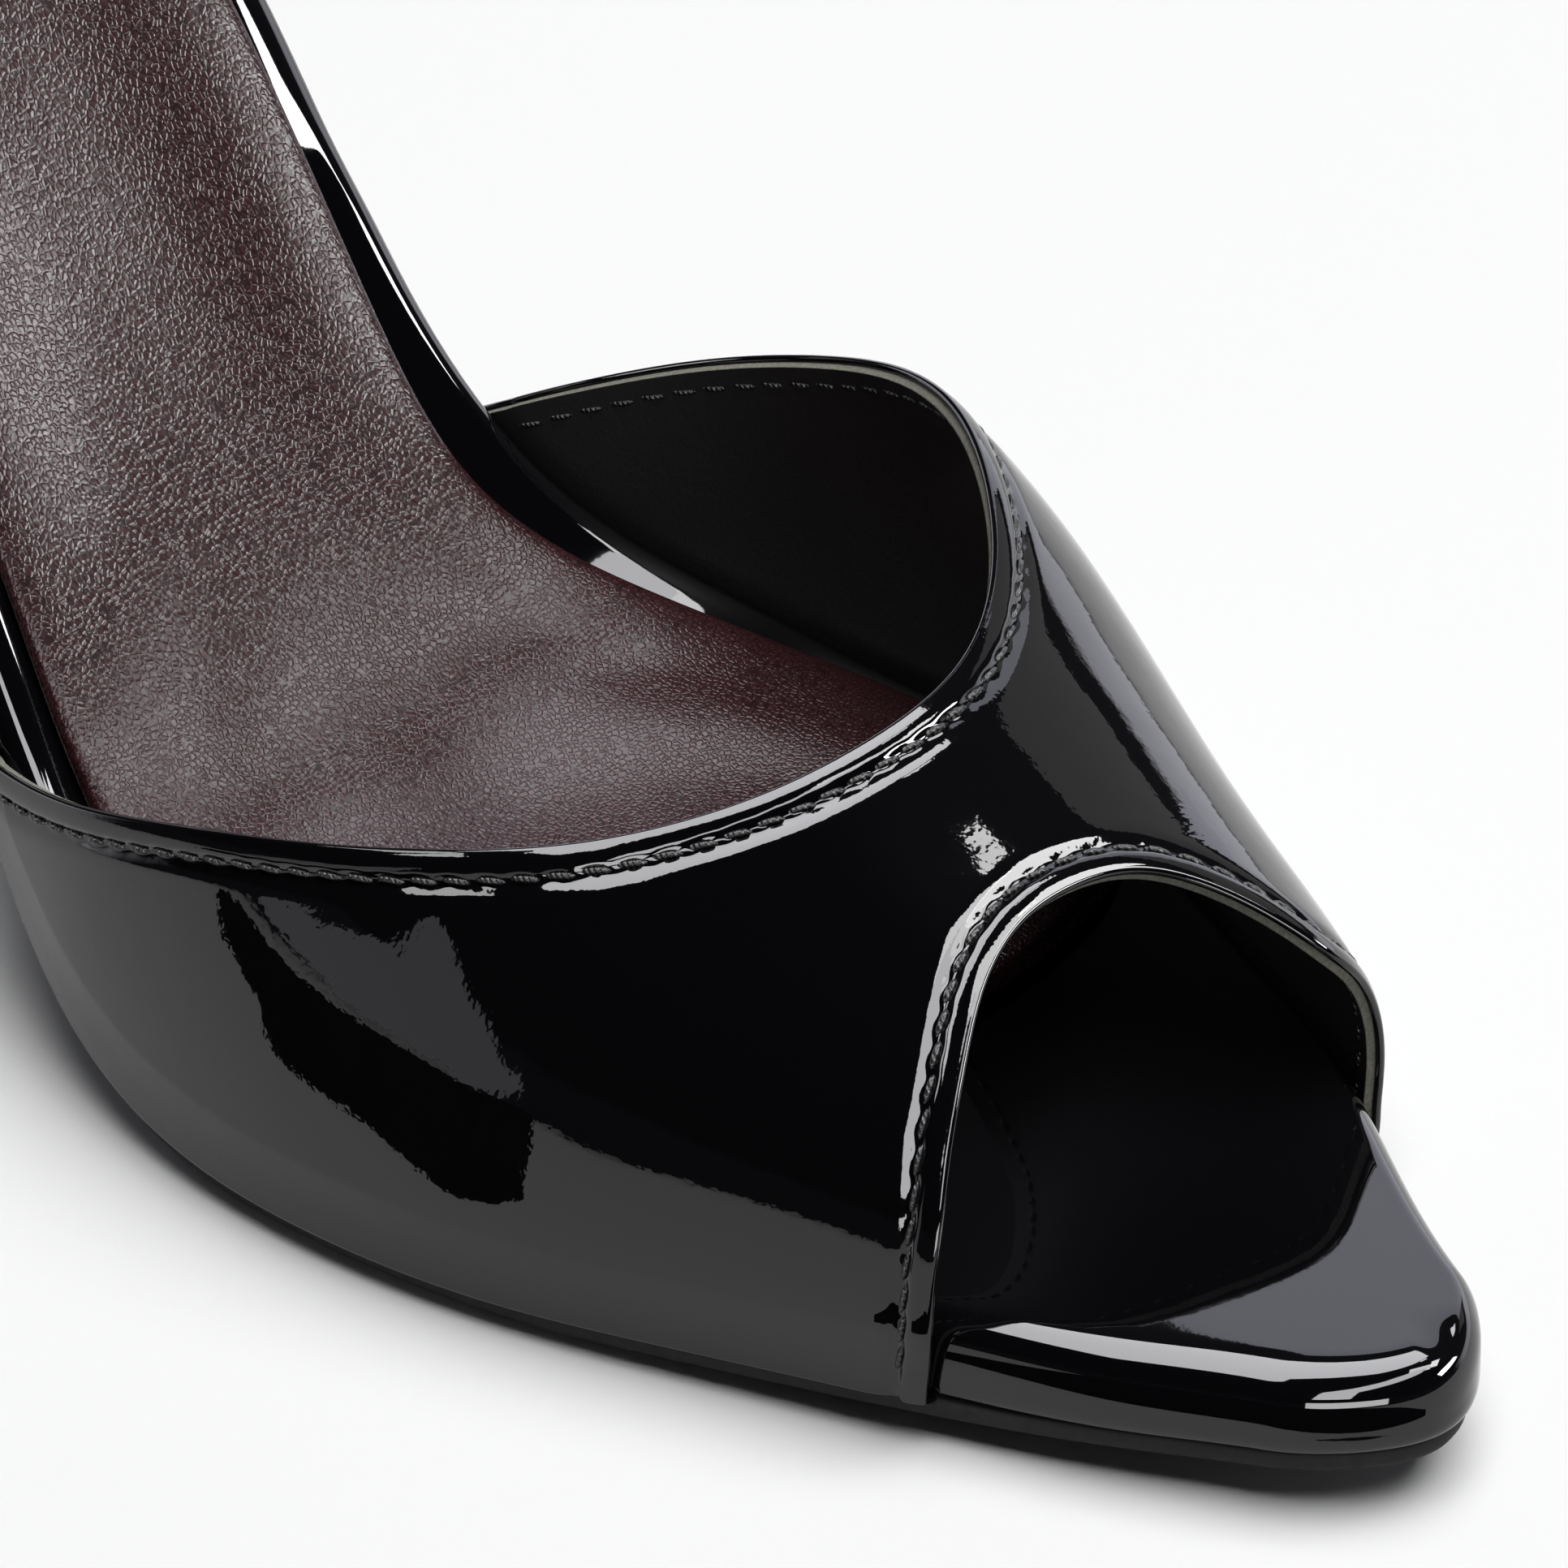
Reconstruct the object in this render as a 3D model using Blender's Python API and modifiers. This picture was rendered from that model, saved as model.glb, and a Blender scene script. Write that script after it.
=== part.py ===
"""Heeled sandal: a right-foot peep-toe mule in patent leather on a slim wrapped heel.

Sizes are in millimetres and become metres when a mesh is made. Along the shoe, x runs from the
back of the heel to the toe tip, y to the medial side (the wearer's left) and z up from the floor.
The finished part is moved so that its origin is the middle of its bounding box, on the floor.
"""
import math

import bpy
import numpy as np

MM = 0.001
NAME = "heeled_sandal"

# The frame's origin in the shoe's own x and y.
MID_X = 113.5
MID_Y = 1.46

# Footbed board, the gap left at glued joints, and the layers around it.
LENGTH = 227.0
HEEL_ROUND = 25.0
TOE_ROUND = 8.0
BOARD = 6.0
GLUE = 0.3
SOLE_BOTTOM = 8.6
SOLE_BACK = 46.8
SOLE_FRONT = 226.3
SOLE_CHAMFER = 0.5
WALL = 1.5
STATIONS = 54

# The footbed along the shoe: half widths to each side, height of its top over the floor,
# how far the outsole's edge stands out past the footbed, and how far the sock stays inside it.
BED_COLUMNS = ("x", "lateral", "medial", "height", "sole_out", "sock_lateral", "sock_medial")
BED = np.array([
    (0.0, 25.0, 25.0, 100.0, -0.7, 4.8, 4.8),
    (14.0, 25.6, 25.6, 96.0, -0.7, 4.8, 4.8),
    (30.0, 26.0, 26.2, 89.5, -0.7, 4.8, 4.8),
    (48.0, 25.4, 26.4, 79.5, -0.7, 4.8, 4.8),
    (66.0, 24.4, 26.4, 64.8, -0.7, 4.8, 4.8),
    (82.0, 24.0, 25.9, 48.5, -0.7, 4.7, 4.7),
    (98.0, 25.0, 24.4, 31.0, -0.5, 4.2, 5.2),
    (110.0, 29.2, 26.8, 19.5, 0.5, 4.8, 7.4),
    (122.0, 33.5, 33.0, 12.2, 0.8, 5.4, 6.4),
    (135.0, 35.9, 37.2, 8.9, 0.8, 3.8, 4.4),
    (150.0, 35.6, 38.4, 8.3, 0.8, 3.4, 3.6),
    (165.0, 32.5, 35.2, 8.5, 0.8, 3.4, 3.4),
    (180.0, 27.1, 29.7, 9.2, 0.8, 3.4, 3.4),
    (196.0, 20.9, 23.2, 10.0, 0.3, 3.4, 3.4),
    (210.0, 15.2, 14.9, 10.9, -0.6, 3.4, 3.4),
    (219.0, 10.4, 10.2, 11.5, -0.7, 3.4, 3.4),
    (227.0, 7.0, 7.0, 12.0, -0.7, 3.4, 3.4),
])

# Rolled edge of the footbed, from its underside up to its flat top: how far in from the outline
# each fold lies, and how far over the footbed's top.
ROLL_COLUMNS = ("inset", "rise")
ROLL = np.array([
    (1.20, -6.0),
    (0.45, -5.6),
    (0.10, -4.4),
    (0.00, -3.2),
    (0.25, -1.9),
    (0.90, -0.8),
    (2.00, -0.2),
    (3.60, 0.0),
])

# Padded edge of the sock, measured in from its own outline and up from the footbed.
SOCK = np.array([
    (0.50, 0.30),
    (0.00, 0.50),
    (0.15, 0.85),
    (1.20, 1.45),
    (2.80, 1.80),
    (4.60, 1.90),
])
SOCK_BACK = 4.8
SOCK_FRONT = 171.5
SOCK_FRONT_ROUND = 9.0
SOCK_FRONT_POWER = 2.6

# The last over the footbed: crown height over the bed and its lean to the medial side.
CROWN_COLUMNS = ("x", "rise", "lean")
CROWN = np.array([
    (95.0, 66.0, 6.0),
    (110.0, 58.5, 7.0),
    (125.0, 51.0, 7.2),
    (140.0, 43.6, 6.2),
    (155.0, 36.6, 4.4),
    (170.0, 28.8, 2.2),
    (185.0, 22.4, 0.9),
    (200.0, 17.6, 0.6),
    (215.0, 13.2, 0.6),
])
FULLNESS = 0.04
TUCK = 0.2

# Cut edges of the vamp, going round it from the medial base (0) over the crown to the lateral base (1):
# where its topline lies along the shoe, and where the peep toe begins.
EDGE_COLUMNS = ("round", "topline", "peep")
EDGE = np.array([
    (0.00, 101.5, 198.8),
    (0.06, 109.2, 198.9),
    (0.12, 118.2, 199.0),
    (0.18, 128.7, 199.0),
    (0.24, 139.0, 198.9),
    (0.30, 149.8, 198.0),
    (0.36, 160.4, 193.6),
    (0.42, 166.9, 188.8),
    (0.48, 169.5, 187.0),
    (0.54, 169.9, 187.1),
    (0.60, 168.8, 189.1),
    (0.66, 165.6, 192.2),
    (0.72, 159.5, 194.8),
    (0.78, 149.0, 196.6),
    (0.84, 134.8, 197.4),
    (0.90, 122.1, 197.7),
    (0.95, 112.6, 197.5),
    (1.00, 103.5, 197.2),
])
VAMP_ROUND = 48
VAMP_ALONG = 16

# The heel, by share of the way down from the heel seat to the top piece:
# its back line, its breast line and its half width.
HEEL_COLUMNS = ("down", "back", "breast", "half")
HEEL = np.array([
    (0.00, 0.6, 46.2, 24.6),
    (0.05, 1.0, 43.8, 23.4),
    (0.12, 2.6, 39.6, 20.2),
    (0.20, 5.4, 35.7, 16.4),
    (0.30, 9.3, 32.6, 12.4),
    (0.42, 12.9, 30.5, 9.4),
    (0.56, 15.7, 29.3, 7.4),
    (0.70, 17.4, 28.6, 6.3),
    (0.85, 18.3, 28.2, 5.7),
    (1.00, 18.6, 28.0, 5.4),
])
HEEL_ROWS = 22
HEEL_SIDE = 14
HEEL_BACK_SHARE = 0.54
BREAST_TAPER = 0.12
TIP_HEIGHT = 4.2
TIP_CHAMFER = 0.5

# Look of each sub-part: base colour, roughness and clear coat.
LOOKS = {
    "insole": ((0.008, 0.008, 0.010), 0.12, 1.0),
    "sock": ((0.075, 0.035, 0.033), 0.45, 0.0),
    "upper": ((0.008, 0.008, 0.010), 0.10, 1.0),
    "outsole": ((0.035, 0.032, 0.030), 0.65, 0.0),
    "heel": ((0.008, 0.008, 0.010), 0.12, 1.0),
    "heel_tip": ((0.012, 0.012, 0.012), 0.70, 0.0),
}


def spline(xs, ys, x):
    """Natural cubic spline through the rows (xs, ys), read at x."""
    xs = np.asarray(xs, float)
    ys = np.asarray(ys, float)
    x = np.asarray(x, float)
    step = np.diff(xs)
    slope = np.diff(ys) / step
    bend = np.eye(len(xs))
    right = np.zeros(len(xs))
    for i in range(1, len(xs) - 1):
        bend[i, i - 1:i + 2] = step[i - 1], 2.0 * (step[i - 1] + step[i]), step[i]
        right[i] = 6.0 * (slope[i] - slope[i - 1])
    m = np.linalg.solve(bend, right)
    i = np.clip(np.searchsorted(xs, x) - 1, 0, len(xs) - 2)
    a = xs[i + 1] - x
    b = x - xs[i]
    h = step[i]
    return (m[i] * a**3 + m[i + 1] * b**3) / (6.0 * h) + (ys[i] / h - m[i] * h / 6.0) * a \
        + (ys[i + 1] / h - m[i + 1] * h / 6.0) * b


def column(table, columns, name, at):
    """A named column of a table, read along its first column."""
    return spline(table[:, 0], table[:, columns.index(name)], at)


def bed_height(x):
    return column(BED, BED_COLUMNS, "height", x)


def end_round(x, low, low_round, high, high_round, power=2.0):
    """Share of the full width left at x, falling to nothing at both rounded ends."""
    a = np.clip((low + low_round - x) / low_round, 0.0, 1.0)
    b = np.clip((x - high + high_round) / high_round, 0.0, 1.0)
    return np.sqrt(1.0 - a * a) * (1.0 - b**power) ** (1.0 / power)


def stations(low, high, count):
    """Places along the shoe, closer together at both ends."""
    u = np.linspace(0.0, math.pi, count + 1)
    return low + (high - low) * (1.0 - np.cos(u)) / 2.0


def bed_half(x, side):
    """Half width of the footbed at x to one side."""
    return column(BED, BED_COLUMNS, side, x) * end_round(x, 0.0, HEEL_ROUND, LENGTH, TOE_ROUND)


def around_bed(x, side, margin):
    """Half width at x of an outline that keeps a margin outside the footbed, square to its edge."""
    slope = bed_half(x + 0.5, side) - bed_half(x - 0.5, side)
    return bed_half(x, side) + margin * np.sqrt(1.0 + slope**2)


def round_trip(x, lateral, medial, flat_start):
    """Plan ring from the heel along the lateral side to the front and back along the medial side."""
    first = 0 if flat_start else 1
    out = np.column_stack([x, -lateral])
    back = np.column_stack([x, medial])[first:-1][::-1]
    return np.vstack([out, back])


def inset_ring(ring, inset):
    """The plan ring moved inwards, square to its own direction."""
    way = np.roll(ring, -1, axis=0) - np.roll(ring, 1, axis=0)
    way = way / np.linalg.norm(way, axis=1, keepdims=True)
    inward = np.column_stack([-way[:, 1], way[:, 0]])
    return ring + inward * inset


def raise_ring(ring, height):
    return np.column_stack([ring, height])


def ladder(count, flat_start, flat_end):
    """Rungs of a cap: index pairs that face each other across a ring."""
    last = count - 1 if flat_start else count
    rungs = count // 2 if (flat_start and flat_end) else count // 2 + 1
    return [(i, (last - i) % count) for i in range(rungs)]


def cap_faces(rungs, base, up):
    """Faces between neighbouring rungs, pointing up or down."""
    faces = []
    for (a, d), (b, c) in zip(rungs[:-1], rungs[1:]):
        corners = list(dict.fromkeys((a, b, c, d)))
        if not up:
            corners = corners[::-1]
        faces.append([base + k for k in corners])
    return faces


def ring_mesh(name, rings, flat_start=False, flat_end=False):
    """Closed mesh lofted through rings that go upwards, with a ladder cap at each end."""
    rows = len(rings)
    count = len(rings[0])
    points = np.vstack(rings)
    rungs = ladder(count, flat_start, flat_end)
    faces = cap_faces(rungs, 0, False) + cap_faces(rungs, (rows - 1) * count, True)
    for r in range(rows - 1):
        for i in range(count):
            j = (i + 1) % count
            low = r * count
            high = low + count
            faces.append((low + i, low + j, high + j, high + i))
    return new_mesh(name, points, faces)


def new_mesh(name, points, faces):
    """Mesh in metres in the part's frame, from points in the shoe's millimetres."""
    placed = (np.asarray(points, float) - (MID_X, MID_Y, 0.0)) * MM
    mesh = bpy.data.meshes.new(name)
    mesh.from_pydata(placed.tolist(), [], faces)
    mesh.update()
    return mesh


def make_material(name):
    colour, roughness, coat = LOOKS[name]
    material = bpy.data.materials.new(name)
    material.use_nodes = True
    shader = material.node_tree.nodes["Principled BSDF"]
    shader.inputs["Base Color"].default_value = (*colour, 1.0)
    shader.inputs["Roughness"].default_value = roughness
    shader.inputs["Coat Weight"].default_value = coat
    shader.inputs["Coat Roughness"].default_value = 0.03
    material.diffuse_color = (*colour, 1.0)
    return material


def add_part(name, mesh, collection):
    """Named object with its own material, smooth over its curves and sharp at its corners."""
    mesh.materials.append(make_material(name))
    mesh.polygons.foreach_set("use_smooth", [True] * len(mesh.polygons))
    mesh.set_sharp_from_angle(angle=math.radians(50.0))
    part = bpy.data.objects.new(name, mesh)
    collection.objects.link(part)
    return part


def folded_rings(ring, folds):
    """Rings of an edge that follows the footbed, one for each fold of its profile."""
    rings = []
    for fold in folds:
        plan = inset_ring(ring, fold[ROLL_COLUMNS.index("inset")])
        height = bed_height(plan[:, 0]) + fold[ROLL_COLUMNS.index("rise")]
        rings.append(raise_ring(plan, height))
    return rings


def build_insole(collection):
    """Footbed board with a rolled edge: heel seat, steep arch, flat forefoot and a little toe spring."""
    x = stations(0.0, LENGTH, STATIONS)
    ring = round_trip(x, bed_half(x, "lateral"), bed_half(x, "medial"), False)
    return add_part("insole", ring_mesh("insole", folded_rings(ring, ROLL)), collection)


def build_sock(collection):
    """Padded sock on the footbed, with a soft shoulder all round and a blunt front under the vamp."""
    x = stations(SOCK_BACK, SOCK_FRONT, STATIONS)
    ends = end_round(x, SOCK_BACK, HEEL_ROUND - SOCK_BACK, SOCK_FRONT, SOCK_FRONT_ROUND, SOCK_FRONT_POWER)
    lateral = (column(BED, BED_COLUMNS, "lateral", x) - column(BED, BED_COLUMNS, "sock_lateral", x)) * ends
    medial = (column(BED, BED_COLUMNS, "medial", x) - column(BED, BED_COLUMNS, "sock_medial", x)) * ends
    ring = round_trip(x, lateral, medial, False)
    return add_part("sock", ring_mesh("sock", folded_rings(ring, SOCK)), collection)


def build_outsole(collection):
    """Thin sole from the heel breast to the toe, flattened where the forefoot stands on the floor."""
    x = stations(SOLE_BACK, SOLE_FRONT, STATIONS)
    out = column(BED, BED_COLUMNS, "sole_out", x)
    ends = end_round(x, -LENGTH, 1.0, SOLE_FRONT, TOE_ROUND)
    lateral = (column(BED, BED_COLUMNS, "lateral", x) + out) * ends
    medial = (column(BED, BED_COLUMNS, "medial", x) + out) * ends
    ring = round_trip(x, lateral, medial, True)
    under = inset_ring(ring, SOLE_CHAMFER)
    floor = np.maximum(bed_height(under[:, 0]) - SOLE_BOTTOM, 0.0)
    side = np.maximum(bed_height(ring[:, 0]) - SOLE_BOTTOM, 0.0) + SOLE_CHAMFER
    top = bed_height(ring[:, 0]) - BOARD - GLUE
    rings = [raise_ring(under, floor), raise_ring(ring, side), raise_ring(ring, top)]
    return add_part("outsole", ring_mesh("outsole", rings, flat_start=True), collection)


def vamp_point(x, share):
    """The vamp's outer face at x, a share of the way round from the medial to the lateral base.

    Each section is an arch over the footbed: half an ellipse, a little full at its shoulders and
    leaning to the medial side, with nearly upright walls below the footbed's top.
    """
    lateral = -around_bed(x, "lateral", GLUE + WALL)
    medial = around_bed(x, "medial", GLUE + WALL)
    rise = column(CROWN, CROWN_COLUMNS, "rise", x)
    lean = column(CROWN, CROWN_COLUMNS, "lean", x)
    low = np.arcsin(BOARD / rise)
    turn = (math.pi + 2.0 * low) * share - low
    up = np.sin(turn)
    across = np.cos(turn)
    full = 1.0 + FULLNESS * np.sin(2.0 * turn) ** 2
    wall = np.sign(across) * (1.0 - TUCK * (1.0 - np.abs(across)))
    below = up < 0.0
    y = (lateral + medial) / 2.0 + (medial - lateral) / 2.0 * np.where(below, wall, across * full)
    y = y + lean * np.clip(up, 0.0, 1.0)
    z = bed_height(x) + rise * np.where(below, up, up * full)
    return np.stack([x, y, z], axis=-1)


def build_upper(collection):
    """Vamp: one hollow band over the toes, its leather a wall of even thickness inside its outer face."""
    share = np.linspace(0.0, 1.0, VAMP_ROUND + 1)[:, None]
    along = np.linspace(0.0, 1.0, VAMP_ALONG + 1)[None, :]
    topline = column(EDGE, EDGE_COLUMNS, "topline", share)
    peep = column(EDGE, EDGE_COLUMNS, "peep", share)
    x = topline + (peep - topline) * along
    points = vamp_point(x, share + 0.0 * along).reshape(-1, 3)
    width = VAMP_ALONG + 1
    faces = []
    for i in range(VAMP_ROUND):
        for j in range(VAMP_ALONG):
            k = i * width + j
            faces.append((k, k + width, k + width + 1, k + 1))
    mesh = new_mesh("upper", points, faces)
    upper = add_part("upper", mesh, collection)
    wall = upper.modifiers.new("wall", "SOLIDIFY")
    wall.thickness = WALL * MM
    wall.offset = -1.0
    wall.use_even_offset = True
    wall.use_rim = True
    return upper


def heel_plan(down):
    """Ring of the heel a share of the way down: round at the back, flat at the breast."""
    back = column(HEEL, HEEL_COLUMNS, "back", down)
    breast = column(HEEL, HEEL_COLUMNS, "breast", down)
    half = column(HEEL, HEEL_COLUMNS, "half", down)
    u = 1.0 - np.cos(np.linspace(0.0, math.pi / 2.0, HEEL_SIDE + 1))
    behind = np.clip(1.0 - u / HEEL_BACK_SHARE, 0.0, 1.0)
    ahead = np.clip((u - HEEL_BACK_SHARE) / (1.0 - HEEL_BACK_SHARE), 0.0, 1.0)
    width = half * np.sqrt(1.0 - behind**2) * (1.0 - BREAST_TAPER * ahead**4)
    x = back + (breast - back) * u
    out = np.column_stack([x, -width])
    return np.vstack([out, np.column_stack([x, width])[1:][::-1]])


def build_heel(collection):
    """Slim heel: from a full seat under the footbed it narrows down to the top piece."""
    seat = bed_height(heel_plan(0.0)[:, 0]) - BOARD - GLUE
    rings = []
    for down in np.linspace(1.0, 0.0, HEEL_ROWS) ** 1.4:
        plan = heel_plan(down)
        height = seat * (1.0 - down) + (TIP_HEIGHT + GLUE) * down
        rings.append(raise_ring(plan, height))
    return add_part("heel", ring_mesh("heel", rings, flat_end=True), collection)


def build_heel_tip(collection):
    """Top piece under the heel, flat on the floor, with a small chamfer round its foot."""
    plan = heel_plan(1.0)
    middle = plan.mean(axis=0)
    foot = middle + (plan - middle) * (1.0 - TIP_CHAMFER / 5.0)
    rings = [
        raise_ring(foot, np.zeros(len(plan))),
        raise_ring(plan, np.full(len(plan), TIP_CHAMFER)),
        raise_ring(plan, np.full(len(plan), TIP_HEIGHT)),
    ]
    return add_part("heel_tip", ring_mesh("heel_tip", rings, flat_end=True), collection)


def main():
    for old in list(bpy.data.objects):
        bpy.data.objects.remove(old, do_unlink=True)
    collection = bpy.data.collections.new(NAME)
    bpy.context.scene.collection.children.link(collection)
    build_outsole(collection)
    build_insole(collection)
    build_sock(collection)
    build_upper(collection)
    build_heel(collection)
    build_heel_tip(collection)


main()
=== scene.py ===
"""Peep-toe heeled mule in black patent leather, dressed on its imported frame.

Shapes are worked out in the shoe's own millimetres: x from the back of the heel to the toe tip,
y to the medial side, z up from the floor. They become metres in the frame when a mesh is made.
"""
import math

import bmesh
import bpy
import numpy as np
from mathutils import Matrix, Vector


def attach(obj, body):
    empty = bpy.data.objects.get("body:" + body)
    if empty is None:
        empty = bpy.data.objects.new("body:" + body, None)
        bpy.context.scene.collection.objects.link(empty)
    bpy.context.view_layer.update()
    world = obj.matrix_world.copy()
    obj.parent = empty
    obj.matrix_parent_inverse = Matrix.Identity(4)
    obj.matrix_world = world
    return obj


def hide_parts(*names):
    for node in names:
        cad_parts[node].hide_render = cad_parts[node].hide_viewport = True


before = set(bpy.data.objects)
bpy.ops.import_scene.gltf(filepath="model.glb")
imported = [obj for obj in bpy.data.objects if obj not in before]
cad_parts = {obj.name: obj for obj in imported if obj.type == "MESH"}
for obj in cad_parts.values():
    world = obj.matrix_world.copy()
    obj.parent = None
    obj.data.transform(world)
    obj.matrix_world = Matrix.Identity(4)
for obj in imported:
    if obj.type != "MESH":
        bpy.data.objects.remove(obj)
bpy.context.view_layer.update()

bl_info = {
    "name": "Heeled sandal",
    "version": (1, 0, 0),
    "blender": (4, 5, 0),
    "location": "3D View > Sidebar > Sandal",
    "description": "Builds the visible pieces of a peep-toe heeled mule on its packed frame",
    "category": "Add Mesh",
}


def table(columns, rows):
    """A table's columns by name, each as an array."""
    return dict(zip(columns, np.array(rows).T))


# Metres in a millimetre, and the frame's origin in the shoe's millimetres.
MM = 0.001
ORIGIN = np.array([113.5, 1.46, 0.0])

# Footbed and the layers that follow it, in millimetres. A round is the length of a rounded end.
LENGTH = 227.0
HEEL_ROUND = 25.0
TOE_ROUND = 8.0
BOARD = 6.0
GLUE = 0.3
WALL = 1.5
SOLE_BOTTOM = 8.6
SOLE_BACK = 46.8
SOLE_BACK_ROUND = 1.5
SOLE_FRONT = 226.3
SOCK_BACK = 4.8
SOCK_FRONT = 171.5
SOCK_FRONT_ROUND = 9.0
SOCK_FRONT_POWER = 2.6

# The footbed along the shoe: half widths, height of its top, how far the outsole's edge stands
# out past it and how far the sock stays inside it.
BED = table(("x", "lateral", "medial", "height", "sole_out", "sock_lateral", "sock_medial"), [
    (0.0, 25.0, 25.0, 100.0, -0.7, 4.8, 4.8),
    (14.0, 25.6, 25.6, 96.0, -0.7, 4.8, 4.8),
    (30.0, 26.0, 26.2, 89.5, -0.7, 4.8, 4.8),
    (48.0, 25.4, 26.4, 79.5, -0.7, 4.8, 4.8),
    (66.0, 24.4, 26.4, 64.8, -0.7, 4.8, 4.8),
    (82.0, 24.0, 25.9, 48.5, -0.7, 4.7, 4.7),
    (98.0, 25.0, 24.4, 31.0, -0.5, 4.2, 5.2),
    (110.0, 29.2, 26.8, 19.5, 0.5, 4.8, 7.4),
    (122.0, 33.5, 33.0, 12.2, 0.8, 5.4, 6.4),
    (135.0, 35.9, 37.2, 8.9, 0.8, 3.8, 4.4),
    (150.0, 35.6, 38.4, 8.3, 0.8, 3.4, 3.6),
    (165.0, 32.5, 35.2, 8.5, 0.8, 3.4, 3.4),
    (180.0, 27.1, 29.7, 9.2, 0.8, 3.4, 3.4),
    (196.0, 20.9, 23.2, 10.0, 0.3, 3.4, 3.4),
    (210.0, 15.2, 14.9, 10.9, -0.6, 3.4, 3.4),
    (219.0, 10.4, 10.2, 11.5, -0.7, 3.4, 3.4),
    (227.0, 7.0, 7.0, 12.0, -0.7, 3.4, 3.4),
])

# Edge profiles that follow the footbed: how far in from the outline, and how far over its top.
# ROLL is the wrapped board's flat edge, ROLL_FULL its full one, and PAD is the sock's padded edge.
ROLL = np.array([
    (0.35, -6.0), (0.10, -5.75), (0.00, -5.2), (0.00, -3.6), (0.05, -2.5), (0.20, -1.75), (0.48, -1.12),
    (0.85, -0.60), (1.25, -0.25), (1.70, -0.02), (2.20, 0.08), (2.80, 0.08), (3.60, -0.06), (4.80, -0.31),
    (5.80, -0.49), (6.60, -0.58),
])
ROLL_FULL = np.array([
    (0.42, -6.0), (0.14, -5.8), (0.00, -5.4), (0.06, -4.5), (0.18, -3.5), (0.38, -2.6), (0.62, -1.90),
    (0.94, -1.35), (1.32, -0.95), (1.74, -0.66), (2.22, -0.44), (2.78, -0.27), (3.47, -0.12),
    (4.17, -0.03), (4.80, 0.0),
])
PAD = np.array([
    (0.5, 0.3), (0.0, 0.5), (0.06, 1.0), (0.35, 1.56), (0.9, 1.86), (1.8, 2.02), (2.8, 2.08), (3.8, 2.09),
])
# Where the footbed's edge changes, as the start and the end of each change: along the shoe, but for
# FULL_NEAR across it and BANK_IN in from the outline. The full edge gets narrower and then wider by a share.
FULL_HEEL = (86.0, 94.0)
FULL_TOE = (178.0, 196.0)
FULL_NEAR = (0.0, 7.0)
NARROWS = (150.0, 190.0)
NARROWER = 0.42
WIDENS = (196.0, 222.0)
WIDER = 0.36
BANK_ENDS = (140.0, 170.0)
BANK_IN = (1.2, 2.2)
# The crown on top of the toe: its height, how far in it takes to rise, and where it swells and fades.
TOE_CROWN = 0.3
TOE_CROWN_REACH = 4.0
TOE_SWELLS = (170.0, 198.0)
TOE_FADES = (198.0, 227.0)
# How deep the sock is dished between its crests, along the shoe. The power pushes the dish's slope
# to its edge, and the swells start from nothing over a share of the way in.
DISH = table(("x", "depth"), [
    (0.0, 0.9), (60.0, 0.9), (76.0, 1.3), (86.0, 1.65), (92.0, 1.65), (98.0, 1.25), (104.0, 0.7),
    (110.0, 0.25), (116.0, 0.15), (125.0, 0.3), (140.0, 0.6), (170.0, 0.6),
])
DISH_POWER = 1.6
SWELL_START = 0.25

# Outsole: how far in and up its chamfered foot goes, and how far in and down from the footbed its top edge.
SOLE_FOOT = ((2.2, 0.0), (1.4, 0.1), (0.75, 0.36), (0.28, 0.75), (0.0, 1.2))
SOLE_SHOULDER = ((0.0, 0.45), (0.08, 0.15), (0.35, 0.0))

# The last over the footbed: how high its crown is and how far it leans to the medial side.
CROWN = table(("x", "rise", "lean"), [
    (95.0, 66.0, 6.0),
    (110.0, 58.5, 7.0),
    (125.0, 51.0, 7.2),
    (140.0, 43.6, 6.2),
    (155.0, 36.6, 4.4),
    (170.0, 28.8, 2.2),
    (185.0, 22.4, 0.9),
    (200.0, 17.6, 0.6),
    (215.0, 13.2, 0.6),
])
# How full the vamp is at its shoulders, and how far and how deep down its walls tuck in.
FULLNESS = 0.04
TUCK = 0.2
TUCK_DEPTH = 4.5
# The cut edges of the vamp, by share of the way round from its medial base over to its lateral base.
EDGE = table(("round", "topline", "peep"), [
    (0.00, 101.5, 198.8),
    (0.06, 109.2, 198.9),
    (0.12, 118.2, 199.0),
    (0.18, 128.7, 199.0),
    (0.24, 139.0, 198.9),
    (0.30, 149.8, 198.0),
    (0.36, 160.4, 193.6),
    (0.42, 166.9, 188.8),
    (0.48, 169.5, 187.0),
    (0.54, 169.9, 187.1),
    (0.60, 168.8, 189.1),
    (0.66, 165.6, 192.2),
    (0.72, 159.5, 194.8),
    (0.78, 149.0, 196.6),
    (0.84, 134.8, 197.4),
    (0.90, 122.1, 197.7),
    (0.95, 112.6, 197.5),
    (1.00, 103.5, 197.2),
])
# Small steps along the shoe and round the vamp, for slopes.
STEP_ALONG = 0.05
STEP_ROUND = 0.0005
# Depths in from a cut edge at which the vamp has lines parallel to it, closest at the stitches.
EDGE_DEPTHS = np.concatenate([
    np.linspace(0.35, 1.5, 9), np.linspace(1.63, 3.4, 15), np.linspace(3.55, 4.9, 8)])
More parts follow.
